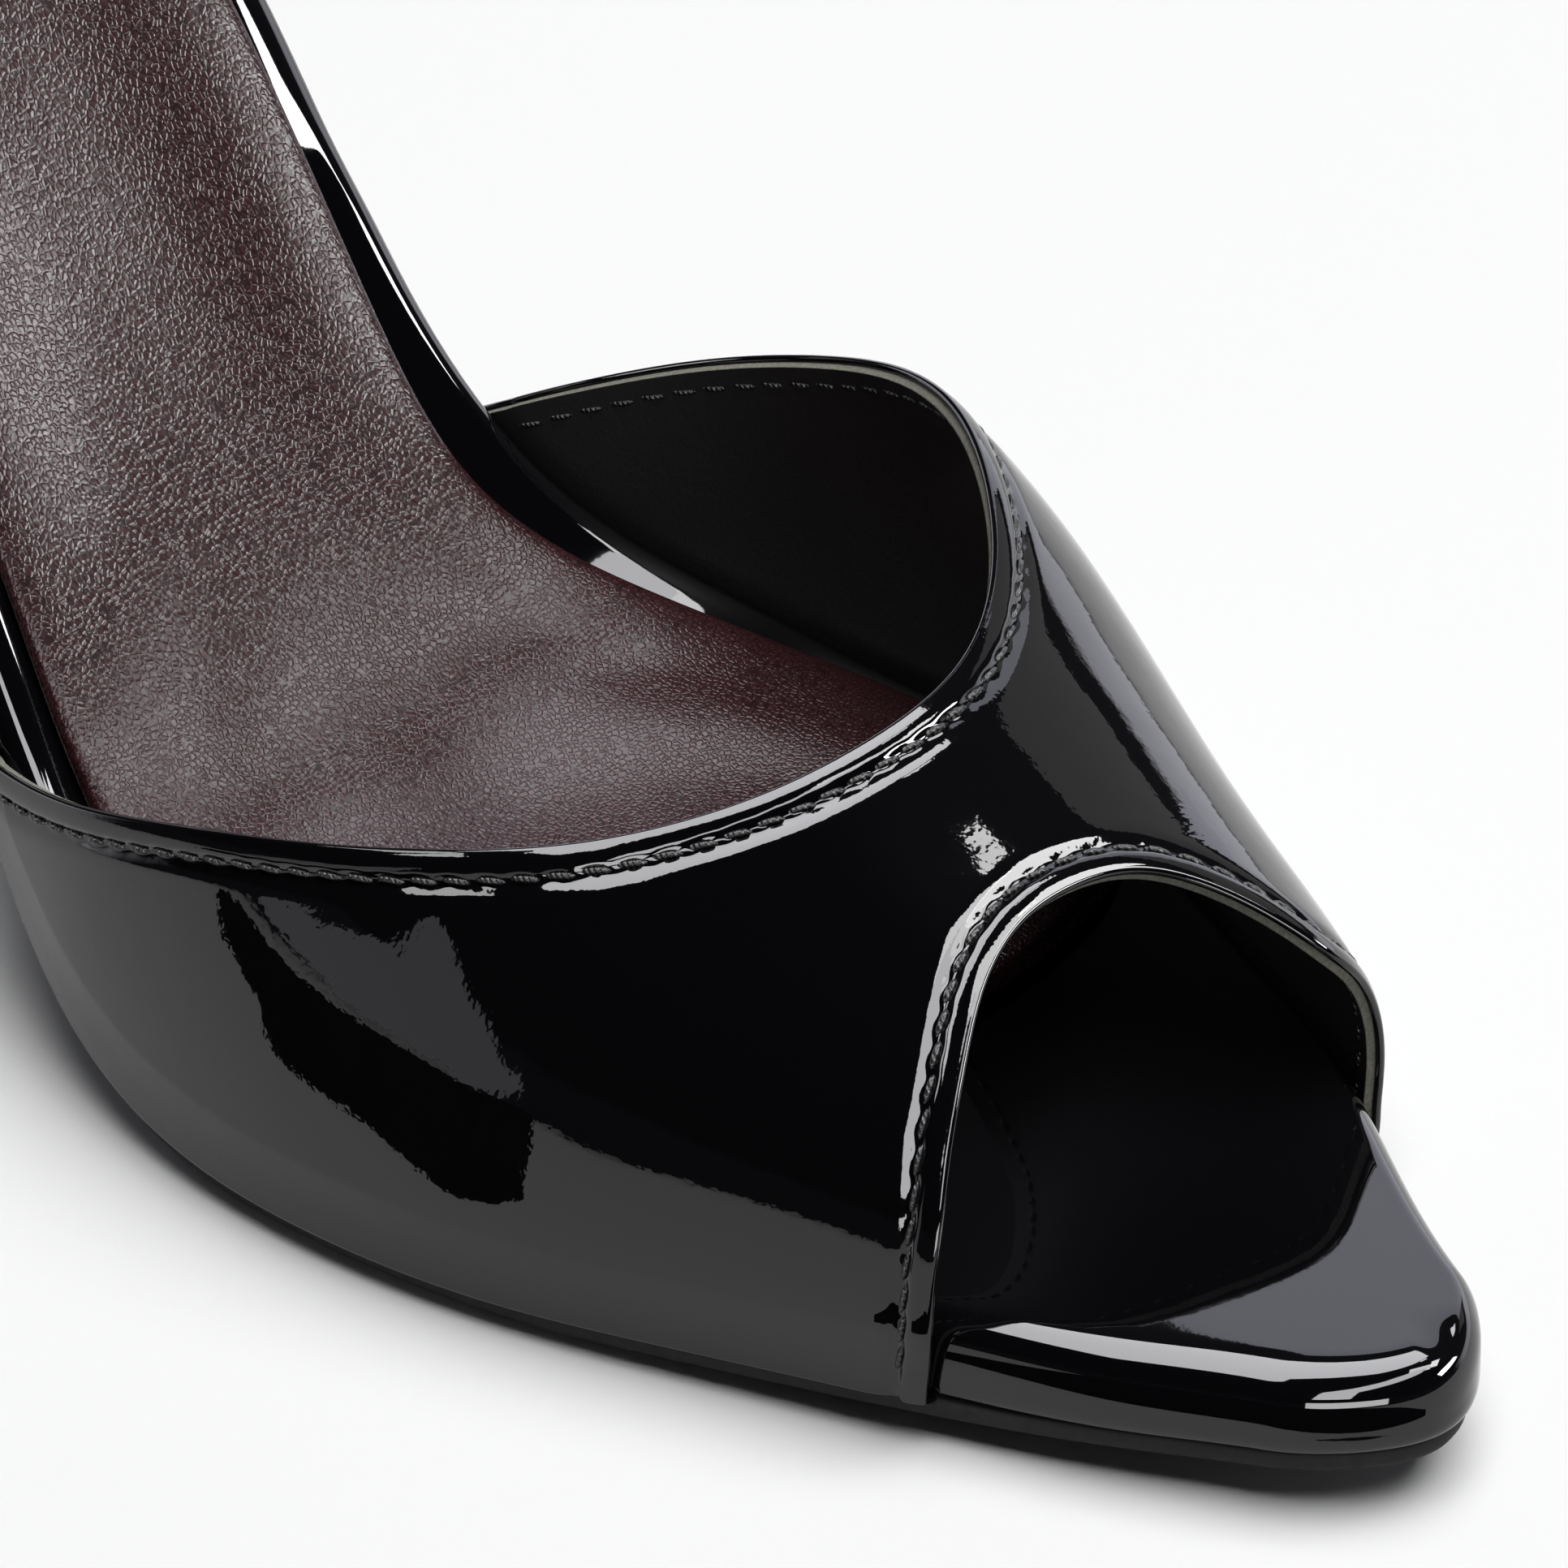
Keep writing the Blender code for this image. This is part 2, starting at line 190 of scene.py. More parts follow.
# Relief of a folded and stitched edge: the fold's step and where it ends about the stitches, its
# rounding and how far in that reaches, and the stitches' furrow and pits with their half widths.
FOLD_STEP = 0.1
FOLD_BEFORE = 0.3
FOLD_BEYOND = 0.5
ROUNDING = 0.24
ROUNDING_REACH = 1.3
FURROW = 0.34
FURROW_TO_EDGE = 0.42
FURROW_AWAY = 1.0
PIT = 0.06
PIT_REACH = 0.4
# How far the patent goes back inside at a cut edge, and how its base is turned in: x, y and z of the
# lateral side's rows.
LIP_UNDER = np.array([0.5, 1.5])
BASE_TURN = np.array([(0.0, 0.95, -0.22), (0.0, 0.35, -0.14)])
# Lining: how far in from the cut edge it starts, how far under the vamp's face its raw edge is
# measured from, how much of the wall is left inside it and under the raw edge, and the raw edge's rows.
LINING_START = 0.4
LINING_UNDER = 0.15
LINING_LEFT = 0.17
RAW_LEFT = 0.3
RAW_ROWS = 4
# Stitches: how far the outer ones sink in, how much nearer to the edge the lining's are and how far
# they stand out of it, and the shares round the vamp between which they are sewn. Then one stitch:
# places along its half length, that length as a share of the pitch, its slant and how deep its ends
# dive as a share of the thread, and the sides of its section.
STITCH_SINK = 0.24
LINING_NEARER = 0.2
LINING_PROUD = 0.02
SEWN = (0.015, 0.985)
STITCH_PLACES = np.array([-1.0, -0.93, -0.6, 0.0, 0.6, 0.93, 1.0])
STITCH_HALF = 0.45
STITCH_SLANT = 0.12
STITCH_DIVE = 0.55
STITCH_SIDES = 6

# The heel by share of the way down from its seat.
HEEL = table(("down", "back", "breast", "half"), [
    (0.00, 0.6, 46.2, 24.6),
    (0.05, 1.0, 43.8, 23.4),
    (0.12, 2.6, 39.6, 20.2),
    (0.20, 5.4, 35.7, 16.4),
    (0.30, 9.3, 32.6, 12.4),
    (0.42, 12.9, 30.5, 9.4),
    (0.56, 15.7, 29.3, 7.4),
    (0.70, 17.4, 28.6, 6.3),
    (0.85, 18.3, 28.2, 5.7),
    (1.00, 18.6, 28.0, 5.4),
])
# Share of a section that is its round back, how the rest tapers, rounds its corners and is hollowed, and
# the power by which the sections gather near the seat.
HEEL_BACK_SHARE = 0.54
HEEL_TAPER = 0.1
HEEL_CORNER = 9
BREAST_HOLLOW = 0.05
BREAST_POWER = 12
HEEL_GATHER = 1.3
# The top piece's edge: how far in and how high.
TIP_HEIGHT = 4.2
TIP_EDGE = ((0.7, 0.0), (0.3, 0.08), (0.05, 0.35), (0.0, 0.8), (0.0, 3.9), (0.12, TIP_HEIGHT))

# Soft hollows and swells of the sock's padding: x, y, half length and half width in millimetres, turn
# from the shoe's length in degrees, and height.
PADDING = np.array([
    (121.0, 15.0, 9.0, 5.0, 40.0, -0.40),
    (142.0, 19.0, 9.0, 5.5, 20.0, -0.45),
    (131.0, 17.0, 7.0, 5.0, 30.0, 0.30),
    (128.0, 2.0, 12.0, 7.0, -20.0, -0.30),
    (112.0, -6.0, 16.0, 7.0, 10.0, 0.30),
    (140.0, -12.0, 13.0, 8.0, 25.0, 0.35),
    (134.5, 17.5, 14.0, 7.0, 45.0, 0.40),
    (113.5, -14.5, 11.0, 4.5, 135.0, 0.40),
    (118.5, -9.5, 11.0, 4.5, 135.0, -0.20),
])


def linear(code):
    """Linear colour with alpha from an sRGB hex code."""
    parts = [int(code[i:i + 2], 16) / 255.0 for i in (1, 3, 5)]
    return tuple(p / 12.92 if p <= 0.04045 else ((p + 0.055) / 1.055) ** 2.4 for p in parts) + (1.0,)


# What every colour property has.
COLOUR = {"subtype": "COLOR", "size": 4, "min": 0.0, "max": 1.0}


class SandalSizes(bpy.types.PropertyGroup):
    """Sizes of the leather work."""

    fold: bpy.props.FloatProperty(
        name="Folded edge", description="Thickness of the patent where it is folded over at a cut edge",
        default=0.0007, unit="LENGTH")
    fold_width: bpy.props.FloatProperty(
        name="Stitch margin", description="From a folded edge to its line of stitches",
        default=0.0023, unit="LENGTH")
    stitch_pitch: bpy.props.FloatProperty(
        name="Stitch pitch", description="From one stitch to the next", default=0.0026, unit="LENGTH")
    thread: bpy.props.FloatProperty(
        name="Thread", description="Width of the sewing thread", default=0.0005, unit="LENGTH")
    grain: bpy.props.FloatProperty(
        name="Sock grain", description="Width of one pebble of the sock's grain",
        default=0.00042, unit="LENGTH")


class SandalColours(bpy.types.PropertyGroup):
    """Colours of the shoe's materials and of the floor."""

    patent: bpy.props.FloatVectorProperty(
        name="Patent", description="Patent leather under its lacquer", default=linear("#08080a"), **COLOUR)
    lining: bpy.props.FloatVectorProperty(
        name="Lining", description="Smooth lining leather", default=linear("#0b0b0c"), **COLOUR)
    raw_edge: bpy.props.FloatVectorProperty(
        name="Raw edge", description="Cut edge of the lining and its backing",
        default=linear("#77766a"), **COLOUR)
    sock: bpy.props.FloatVectorProperty(
        name="Sock", description="Grained sock leather", default=linear("#371c1f"), **COLOUR)
    outsole: bpy.props.FloatVectorProperty(
        name="Outsole", description="Outsole and its trimmed edge", default=linear("#201e1d"), **COLOUR)
    thread: bpy.props.FloatVectorProperty(
        name="Thread", description="Sewing thread", default=linear("#141516"), **COLOUR)
    tip: bpy.props.FloatVectorProperty(
        name="Top piece", description="Rubber top piece under the heel", default=linear("#161616"), **COLOUR)
    floor: bpy.props.FloatVectorProperty(
        name="Floor", description="Pale studio floor", default=linear("#f4f4f4"), **COLOUR)


def spline(xs, ys, x):
    """Natural cubic spline through the rows (xs, ys), read at x."""
    xs = np.asarray(xs, float)
    ys = np.asarray(ys, float)
    x = np.asarray(x, float)
    step = np.diff(xs)
    slope = np.diff(ys) / step
    inner = np.arange(1, len(xs) - 1)
    bend = np.eye(len(xs))
    bend[inner, inner - 1] = step[:-1]
    bend[inner, inner] = 2.0 * (step[:-1] + step[1:])
    bend[inner, inner + 1] = step[1:]
    right = np.zeros(len(xs))
    right[inner] = 6.0 * np.diff(slope)
    m = np.linalg.solve(bend, right)
    i = np.clip(np.searchsorted(xs, x) - 1, 0, len(xs) - 2)
    a = xs[i + 1] - x
    b = x - xs[i]
    h = step[i]
    ends = (ys[i] / h - m[i] * h / 6.0) * a + (ys[i + 1] / h - m[i + 1] * h / 6.0) * b
    return (m[i] * a**3 + m[i + 1] * b**3) / (6.0 * h) + ends


def column(rows, name, at):
    """A named column of a table, read along its first column."""
    first = next(iter(rows.values()))
    return spline(first, rows[name], at)


def smooth_step(low, high, value):
    """Rises from 0 at low to 1 at high with level ends."""
    t = np.clip((value - low) / (high - low), 0.0, 1.0)
    return t * t * (3.0 - 2.0 * t)


def unit(vectors):
    """Vectors of length one, along the last axis."""
    return vectors / np.linalg.norm(vectors, axis=-1, keepdims=True)


def bed_height(x):
    """Height of the footbed's top at x."""
    return column(BED, "height", x)


def end_round(x, low, low_round, high, high_round, high_power=2.0):
    """Share of the full width left at x: a quarter ellipse at the low end, a superellipse at the high."""
    a = np.clip((low + low_round - x) / low_round, 0.0, 1.0)
    b = np.clip((x - high + high_round) / high_round, 0.0, 1.0)
    return np.sqrt(1.0 - a**2) * (1.0 - b**high_power) ** (1.0 / high_power)


def stations(low, high, count):
    """Places along the shoe, half a cosine wave apart, so they gather at both ends."""
    u = np.linspace(0.0, math.pi, count + 1)
    return low + (high - low) * (1.0 - np.cos(u)) / 2.0


def bed_half(x, side):
    """Half width of the footbed at x on one side: its column, rounded off at both ends."""
    return column(BED, side, x) * end_round(x, 0.0, HEEL_ROUND, LENGTH, TOE_ROUND)


def around_bed(x, side, margin):
    """Half width of an outline a margin outside the footbed, square to its edge by the slope over 1 mm."""
    slope = bed_half(x + 0.5, side) - bed_half(x - 0.5, side)
    return bed_half(x, side) + margin * np.sqrt(1.0 + slope**2)


def round_trip(x, lateral, medial):
    """Plan ring from the back end along the lateral side to the front end and back along the medial side."""
    out = np.column_stack([x, -lateral])
    return np.vstack([out, np.column_stack([x, medial])[1:-1][::-1]])


def bed_ring(x, ends, lateral_out, medial_out):
    """Plan ring that stands out past the footbed's half widths, narrowed by a share at its ends."""
    lateral = (column(BED, "lateral", x) + lateral_out) * ends
    medial = (column(BED, "medial", x) + medial_out) * ends
    return round_trip(x, lateral, medial)


def inset_ring(ring, inset):
    """The plan ring moved inwards, square to the line between each point's neighbours."""
    way = unit(np.roll(ring, -1, axis=0) - np.roll(ring, 1, axis=0))
    return ring + np.column_stack([-way[:, 1], way[:, 0]]) * np.reshape(inset, (-1, 1))


def length_along(points):
    """Distance from the first point to each one along a line of points."""
    return np.concatenate([[0.0], np.cumsum(np.linalg.norm(np.diff(points, axis=0), axis=1))])


def fine_profile(folds, count):
    """Spline through a profile's folds by distance along it, at evenly spaced places."""
    along = length_along(folds)
    at = np.linspace(0.0, along[-1], count)
    return np.column_stack([spline(along, folds[:, 0], at), spline(along, folds[:, 1], at)])


def closed_stack(rings, steps):
    """Rings with both ends drawn in to their spine, the line half way between facing points.

    Row k of a closing lies a share k / steps of the way from the end ring to that line.
    """
    count = rings.shape[1]
    across = (-np.arange(count)) % count
    share = np.linspace(0.0, 1.0, steps + 1)[1:, None, None]
    low, high = (ring + ((ring + ring[across]) / 2.0 - ring) * share for ring in (rings[0], rings[-1]))
    return np.concatenate([low[::-1], rings, high])


def ring_faces(rows, count):
    """Quads from each ring to the next one up, round a ring that runs anticlockwise from above."""
    i = np.arange(count)
    low = np.arange(rows - 1)[:, None] * count
    a = low + i
    b = low + (i + 1) % count
    return np.stack([a, b, b + count, a + count], axis=-1).reshape(-1, 4)


def grid_faces(rows, width):
    """Quads of an open grid stored row after row, facing the way that rows cross columns."""
    i = np.arange(rows - 1)[:, None] * width
    a = i + np.arange(width - 1)
    return np.stack([a, a + width, a + width + 1, a + 1], axis=-1).reshape(-1, 4)


def make_piece(name, points, faces, materials, chosen=None, weld=False):
    """Smooth-shaded object at the origin from points in the shoe's millimetres.

    chosen gives each face the number of its material. With weld, points less than a micrometre apart
    are merged, and faces without area go.
    """
    placed = (np.asarray(points, float).reshape(-1, 3) - ORIGIN) * MM
    mesh = bpy.data.meshes.new(name)
    mesh.from_pydata(placed.tolist(), [], faces.tolist())
    if chosen is not None:
        mesh.polygons.foreach_set("material_index", np.asarray(chosen, np.int32))
    if weld:
        work = bmesh.new()
        work.from_mesh(mesh)
        bmesh.ops.remove_doubles(work, verts=work.verts, dist=1e-6)
        bmesh.ops.dissolve_degenerate(work, edges=work.edges, dist=1e-7)
        work.to_mesh(mesh)
        work.free()
    mesh.polygons.foreach_set("use_smooth", np.ones(len(mesh.polygons), bool))
    for material in materials:
        mesh.materials.append(material)
    mesh.update()
    piece = bpy.data.objects.new(name, mesh)
    bpy.context.scene.collection.objects.link(piece)
    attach(piece, "root")
    return piece


def closed_piece(name, rings, material):
    """Piece of one material from rings that close at both ends, merged along its spines."""
    return make_piece(name, rings, ring_faces(*rings.shape[:2]), [material], weld=True)


def add_node(tree, kind, inputs=None, stops=(), **settings):
    """Adds a node, sets its own settings and ramp stops, and sets or links its inputs by name or number."""
    made = tree.nodes.new(kind)
    for name, value in settings.items():
        setattr(made, name, value)
    for name, value in (inputs or {}).items():
        if isinstance(value, bpy.types.NodeSocket):
            tree.links.new(value, made.inputs[name])
        else:
            made.inputs[name].default_value = value
    for number, (place, colour) in enumerate(stops):
        if number >= len(made.color_ramp.elements):
            made.color_ramp.elements.new(place)
        made.color_ramp.elements[number].position = place
        made.color_ramp.elements[number].color = colour
    return made


def new_material(name):
    """Node material with an empty tree, and that tree."""
    material = bpy.data.materials.new(name)
    material.use_nodes = True
    material.node_tree.nodes.clear()
    return material, material.node_tree


def shaded(colour, share):
    """A linear colour made darker or lighter by a share, keeping its alpha."""
    return tuple(min(1.0, c * share) for c in colour[:3]) + (1.0,)


def patent_leather(colour, name, wave):
    """Patent leather: split leather under a poured lacquer.

    The eye gets a mirror whose reflections are wavy where the leather lies uneven, every 12 mm and
    every 3 mm, and ragged at their edges from the lacquer's orange peel, 0.5 mm across. Leather that
    is pulled tight over a board has a smaller share of this wave.
    """
    material, tree = new_material(name)
    place = add_node(tree, "ShaderNodeTexCoord").outputs["Object"]
    under = {}
    for size, height in ((0.012, 0.00016), (0.003, 0.000022), (0.0005, 0.000005)):
        lie = add_node(tree, "ShaderNodeTexNoise", {
            "Vector": place, "Scale": 1.0 / size, "Detail": 1.0, "Roughness": 0.4})
        bump = add_node(tree, "ShaderNodeBump", {
            "Height": lie.outputs["Fac"], "Strength": 1.0, "Distance": height * wave, **under})
        under = {"Normal": bump.outputs["Normal"]}
    shader = add_node(tree, "ShaderNodeBsdfPrincipled", {
        "Base Color": colour, "Roughness": 0.03, "IOR": 1.5, **under})
    add_node(tree, "ShaderNodeOutputMaterial", {"Surface": shader.outputs["BSDF"]})
    return material


def flecked(name, colour, size, depth, detail, harshness, dark, pale, roughness, ior, worn=None):
    """Dull stuff with a fine noise, as wide as size, that gives it a relief of a depth and tints it.

    The tint runs from a dark to a pale share of the colour, each at its own place in the noise. With
    worn it follows a softer noise instead, as wide as that.
    """
    material, tree = new_material(name)
    place = add_node(tree, "ShaderNodeTexCoord").outputs["Object"]
    fleck = add_node(tree, "ShaderNodeTexNoise", {
        "Vector": place, "Scale": 1.0 / size, "Detail": detail, "Roughness": harshness})
    patch = fleck
    if worn:
        patch = add_node(tree, "ShaderNodeTexNoise", {"Vector": place, "Scale": 1.0 / worn, "Detail": 2.0})
    tint = add_node(tree, "ShaderNodeValToRGB", {"Fac": patch.outputs["Fac"]},
                    stops=[(at, shaded(colour, share)) for at, share in (dark, pale)])
    bump = add_node(tree, "ShaderNodeBump", {
        "Height": fleck.outputs["Fac"], "Strength": 1.0, "Distance": depth})
    shader = add_node(tree, "ShaderNodeBsdfPrincipled", {
        "Base Color": tint.outputs["Color"], "Roughness": roughness, "IOR": ior,
        "Normal": bump.outputs["Normal"]})
    add_node(tree, "ShaderNodeOutputMaterial", {"Surface": shader.outputs["BSDF"]})
    return material


def lining_leather(colour):
    """Lining leather: thin black skin with a tight 0.4 mm grain, a dull polish and paler worn patches."""
    return flecked(
        "lining_leather_black", colour, size=0.0004, depth=0.00003, detail=4.0, harshness=0.6,
        dark=(0.35, 0.8), pale=(0.7, 1.35), roughness=0.5, ior=1.45, worn=0.012)


def raw_leather_edge(colour):
    """Cut edge of the lining and its backing: matt, fibrous and paler than the skin, in 0.3 mm fibres."""
    return flecked(
        "raw_leather_edge", colour, size=0.0003, depth=0.0001, detail=5.0, harshness=0.7,
        dark=(0.3, 0.6), pale=(0.72, 1.3), roughness=0.85, ior=1.4)


def outsole_board(colour):
    """Outsole board: trimmed, stained and dull, with darker and paler flecks about 1.2 mm across."""
    return flecked(
        "outsole_board", colour, size=0.0012, depth=0.00006, detail=5.0, harshness=0.65,
        dark=(0.35, 0.7), pale=(0.72, 1.3), roughness=0.7, ior=1.3)


def tip_rubber(colour):
    """Moulded rubber: dull black with a fine sandy grain of about 0.4 mm."""
    return flecked(
        "moulded_rubber", colour, size=0.0004, depth=0.00005, detail=3.0, harshness=0.6,
        dark=(0.35, 0.75), pale=(0.7, 1.25), roughness=0.7, ior=1.45)


def sock_leather(colour, grain):
    """Sock leather: burgundy-brown sheep or goat skin with a pebbled grain under a satin finish.

    Pebbles are Voronoi cells as wide as the grain size, a little wider across the foot than along it,
    and a noise moves them out of line. Their tops catch the light, and the furrows between them are
    painted darker, down to under half the colour, as painted shade. A finer noise, about half a pebble wide,
    creases them.
    """
    material, tree = new_material("grained_sock_leather")
    place = add_node(tree, "ShaderNodeTexCoord").outputs["Object"]
    drift = add_node(tree, "ShaderNodeTexNoise", {
        "Vector": place, "Scale": 0.4 / grain, "Detail": 2.0, "Roughness": 0.5})
    moved = add_node(tree, "ShaderNodeVectorMath", {
        0: drift.outputs["Color"], 1: (0.9 * grain, 0.9 * grain, 0.9 * grain)}, operation="MULTIPLY")
    warped = add_node(tree, "ShaderNodeVectorMath", {0: place, 1: moved.outputs[0]}, operation="ADD")
    laid = add_node(tree, "ShaderNodeMapping", {"Vector": warped.outputs[0], "Scale": (1.0, 0.9, 0.25)})
    pebble = add_node(tree, "ShaderNodeTexVoronoi", {
        "Vector": laid.outputs["Vector"], "Scale": 1.0 / grain, "Randomness": 0.85},
        feature="DISTANCE_TO_EDGE")
    dome = add_node(tree, "ShaderNodeMapRange", {
        "Value": pebble.outputs["Distance"], "From Min": 0.0, "From Max": 0.26, "To Min": 0.0, "To Max": 1.0},
        interpolation_type="SMOOTHSTEP")
    crease = add_node(tree, "ShaderNodeTexNoise", {
        "Vector": place, "Scale": 2.2 / grain, "Detail": 3.0, "Roughness": 0.6})
    # Painted shade: the colour follows the pebbles' height, so the furrows between them are painted darker.
    tint = add_node(tree, "ShaderNodeValToRGB", {"Fac": dome.outputs["Result"]},
                    stops=[(0.1, shaded(colour, 0.45)), (0.55, shaded(colour, 1.0))]).outputs["Color"]
    furrow = add_node(tree, "ShaderNodeBump", {
        "Height": dome.outputs["Result"], "Strength": 1.0, "Distance": 0.000018})
    relief = add_node(tree, "ShaderNodeBump", {
        "Height": crease.outputs["Fac"], "Strength": 1.0, "Distance": 0.000006,
        "Normal": furrow.outputs["Normal"]})
    shader = add_node(tree, "ShaderNodeBsdfPrincipled", {
        "Base Color": tint, "Roughness": 0.21, "IOR": 1.3, "Normal": relief.outputs["Normal"]})
    add_node(tree, "ShaderNodeOutputMaterial", {"Surface": shader.outputs["BSDF"]})
    return material


def sewing_thread(colour, width):
    """Sewing thread: black polyester, three plies twisted, with a soft gleam along each ply."""
    material, tree = new_material("polyester_thread")
    place = add_node(tree, "ShaderNodeTexCoord").outputs["Object"]
    twist = add_node(tree, "ShaderNodeTexWave", {
        "Vector": place, "Scale": 0.5 / width, "Distortion": 1.0}, bands_direction="DIAGONAL")
    bump = add_node(tree, "ShaderNodeBump", {
        "Height": twist.outputs["Fac"], "Strength": 1.0, "Distance": 0.00006})
    shader = add_node(tree, "ShaderNodeBsdfPrincipled", {
        "Base Color": colour, "Roughness": 0.35, "IOR": 1.5, "Normal": bump.outputs["Normal"]})
    add_node(tree, "ShaderNodeOutputMaterial", {"Surface": shader.outputs["BSDF"]})
    return material


def shared(maker, *values):
    """A material made once and used by every piece of the same stuff."""
    name = "_".join(["made", maker.__name__] + [str(value) for value in values[1:]])
    kept = bpy.context.scene.get(name)
    if kept is None:
        kept = maker(*values).name
        bpy.context.scene[name] = kept
    return bpy.data.materials[kept]


def wrap_patent(scene):
    """The patent that is pulled tight over the footbed's board and over the heel."""
    wave = 0.15
    return shared(patent_leather, tuple(scene.sandal_colours.patent), "patent_leather_wrap", wave)


def folded_rings(ring, profile, width=1.0):
    """Rings of a profile carried round an outline: each moved in, times the width, and raised."""
    rings = []
    for inset, rise in profile:
        plan = inset_ring(ring, inset * width)
        rings.append(np.column_stack([plan, bed_height(plan[:, 0]) + rise]))
    return np.array(rings)


def footbed_shape():
    """Footbed: a rolled edge profile carried round the outline, closed over the top and underneath.

    The profile is the full one round the heel and the near side of the toe, and the flat one elsewhere,
    which dips to the sock's edge as far as the vamp.
    The top of the toe is crowned: it rises from the outline as one less a bell curve of the distance
    in, by a height that swells and fades along the shoe. The rows of the edge's side stay as they are.
    """
    steps = 10
    side_rows = 12
    x = stations(0.0, LENGTH, count=260)
    ring = round_trip(x, bed_half(x, "lateral"), bed_half(x, "medial"))
    at = ring[:, 0]
    near = 1.0 - smooth_step(*FULL_NEAR, ring[:, 1])
    full = 1.0 - smooth_step(*FULL_HEEL, at) + smooth_step(*FULL_TOE, at) * near
    width = 1.0 - NARROWER * smooth_step(*NARROWS, at) + WIDER * smooth_step(*WIDENS, at)
    level, profile = (fine_profile(folds, count=40) for folds in (ROLL, ROLL_FULL))
    flat_rings = folded_rings(ring, level)
    bank = level[:, 1:] * smooth_step(*BANK_IN, level[:, :1])
    flat_rings[:, :, 2] -= bank * smooth_step(*BANK_ENDS, at)
    full_rings = folded_rings(ring, profile, width)
    rings = closed_stack(flat_rings + (full_rings - flat_rings) * full[:, None], steps)
    last = len(rings) - steps
    rings[last:, :, 2] = bed_height(rings[last:, :, 0])
    inwards = np.zeros(rings.shape[:2])
    inwards[steps:last] = profile[:, :1]
    inwards[last:] = profile[-1, 0] + np.linalg.norm(rings[last:, :, :2] - rings[last - 1, :, :2], axis=-1)
    inwards[:steps + side_rows] = 0.0
    along = rings[:, :, 0]
    crown = TOE_CROWN * smooth_step(*TOE_SWELLS, along) * (1.0 - smooth_step(*TOE_FADES, along))
    rings[:, :, 2] += crown * (1.0 - np.exp(-(inwards / TOE_CROWN_REACH) ** 2))
    return rings


def padding_height(x, y):
    """Sum of soft oval swells: each is its height times a bell curve over its own length and width."""
    total = np.zeros_like(x)
    for cx, cy, half_long, half_wide, turn, height in PADDING:
        c = math.cos(math.radians(turn))
        s = math.sin(math.radians(turn))
        along = ((x - cx) * c + (y - cy) * s) / half_long
        across = ((y - cy) * c - (x - cx) * s) / half_wide
        total = total + height * np.exp(-along**2 - across**2)
    return total


def sock_shape():
    """Sock: the padded edge profile carried round its outline, dished inside its crest.

    The dish is a cosine wave from crest to crest, deepest on the arch and shallow at its foot, and soft
    swells are added to it.
    """
    steps = 36
    x = stations(SOCK_BACK, SOCK_FRONT, count=300)
    ends = end_round(x, SOCK_BACK, HEEL_ROUND - SOCK_BACK, SOCK_FRONT, SOCK_FRONT_ROUND,
                     high_power=SOCK_FRONT_POWER)
    ring = bed_ring(x, ends, -column(BED, "sock_lateral", x), -column(BED, "sock_medial", x))
    rings = closed_stack(folded_rings(ring, fine_profile(PAD, count=22)), steps)
    top = rings[-steps:]
    to_spine = np.linspace(0.0, 1.0, steps + 1)[1:, None]
    deep = column(DISH, "depth", top[:, :, 0])
    dish = PAD[-1, 1] - deep * 0.5 * (1.0 - np.cos(np.pi * (1.0 - (1.0 - to_spine) ** DISH_POWER)))
    swell = smooth_step(0.0, SWELL_START, to_spine) * padding_height(top[:, :, 0], top[:, :, 1])
    top[:, :, 2] = bed_height(top[:, :, 0]) + dish + swell
    return rings


def outsole_shape():
    """Outsole: a thin slab under the footbed's outline, its foot chamfered and level at the ball."""
    x = stations(SOLE_BACK, SOLE_FRONT, count=220)
    out = column(BED, "sole_out", x)
    ends = end_round(x, SOLE_BACK, SOLE_BACK_ROUND, SOLE_FRONT, TOE_ROUND)
    ring = bed_ring(x, ends, out, out)
    rings = []
    for inset, lift in SOLE_FOOT:
        plan = inset_ring(ring, inset)
        rings.append(np.column_stack([plan, np.maximum(bed_height(plan[:, 0]) - SOLE_BOTTOM, 0.0) + lift]))
    for inset, drop in SOLE_SHOULDER:
        plan = inset_ring(ring, inset)
        rings.append(np.column_stack([plan, bed_height(plan[:, 0]) - BOARD - GLUE - drop]))
    return closed_stack(np.array(rings), steps=6)


def heel_ring(down):
    """Heel section a share of the way down: half an ellipse behind, a round-cornered hollow breast ahead."""
    back, breast, half = (column(HEEL, name, down) for name in ("back", "breast", "half"))
    u = stations(0.0, 1.0, count=60)
    behind = np.clip(1.0 - u / HEEL_BACK_SHARE, 0.0, 1.0)
    ahead = np.clip((u - HEEL_BACK_SHARE) / (1.0 - HEEL_BACK_SHARE), 0.0, 1.0)
    corner = (1.0 - ahead**HEEL_CORNER) ** (1.0 / HEEL_CORNER)
    width = half * np.sqrt(1.0 - behind**2) * (1.0 - HEEL_TAPER * ahead**2) * corner
    hollow = BREAST_HOLLOW * (breast - back) * ahead**BREAST_POWER * (1.0 - (width / half) ** 2)
    x = back + (breast - back) * u - hollow
    return round_trip(x, width, width)


def heel_shape():
    """Heel: sections between the footbed's underside and the top piece, closer together near the seat."""
    seat = bed_height(heel_ring(0.0)[:, 0]) - BOARD - GLUE
    rings = []
    for down in np.linspace(1.0, 0.0, 110) ** HEEL_GATHER:
        height = seat * (1.0 - down) + (TIP_HEIGHT + GLUE) * down
        rings.append(np.column_stack([heel_ring(down), height]))
    return closed_stack(np.array(rings), steps=5)


def tip_shape():
    """Top piece: the heel's last section, with a rounded foot."""
    plan = heel_ring(1.0)
    rings = []
    for inset, height in TIP_EDGE:
        ring = inset_ring(plan, inset)
        rings.append(np.column_stack([ring, np.full(len(ring), height)]))
    return closed_stack(np.array(rings), steps=4)


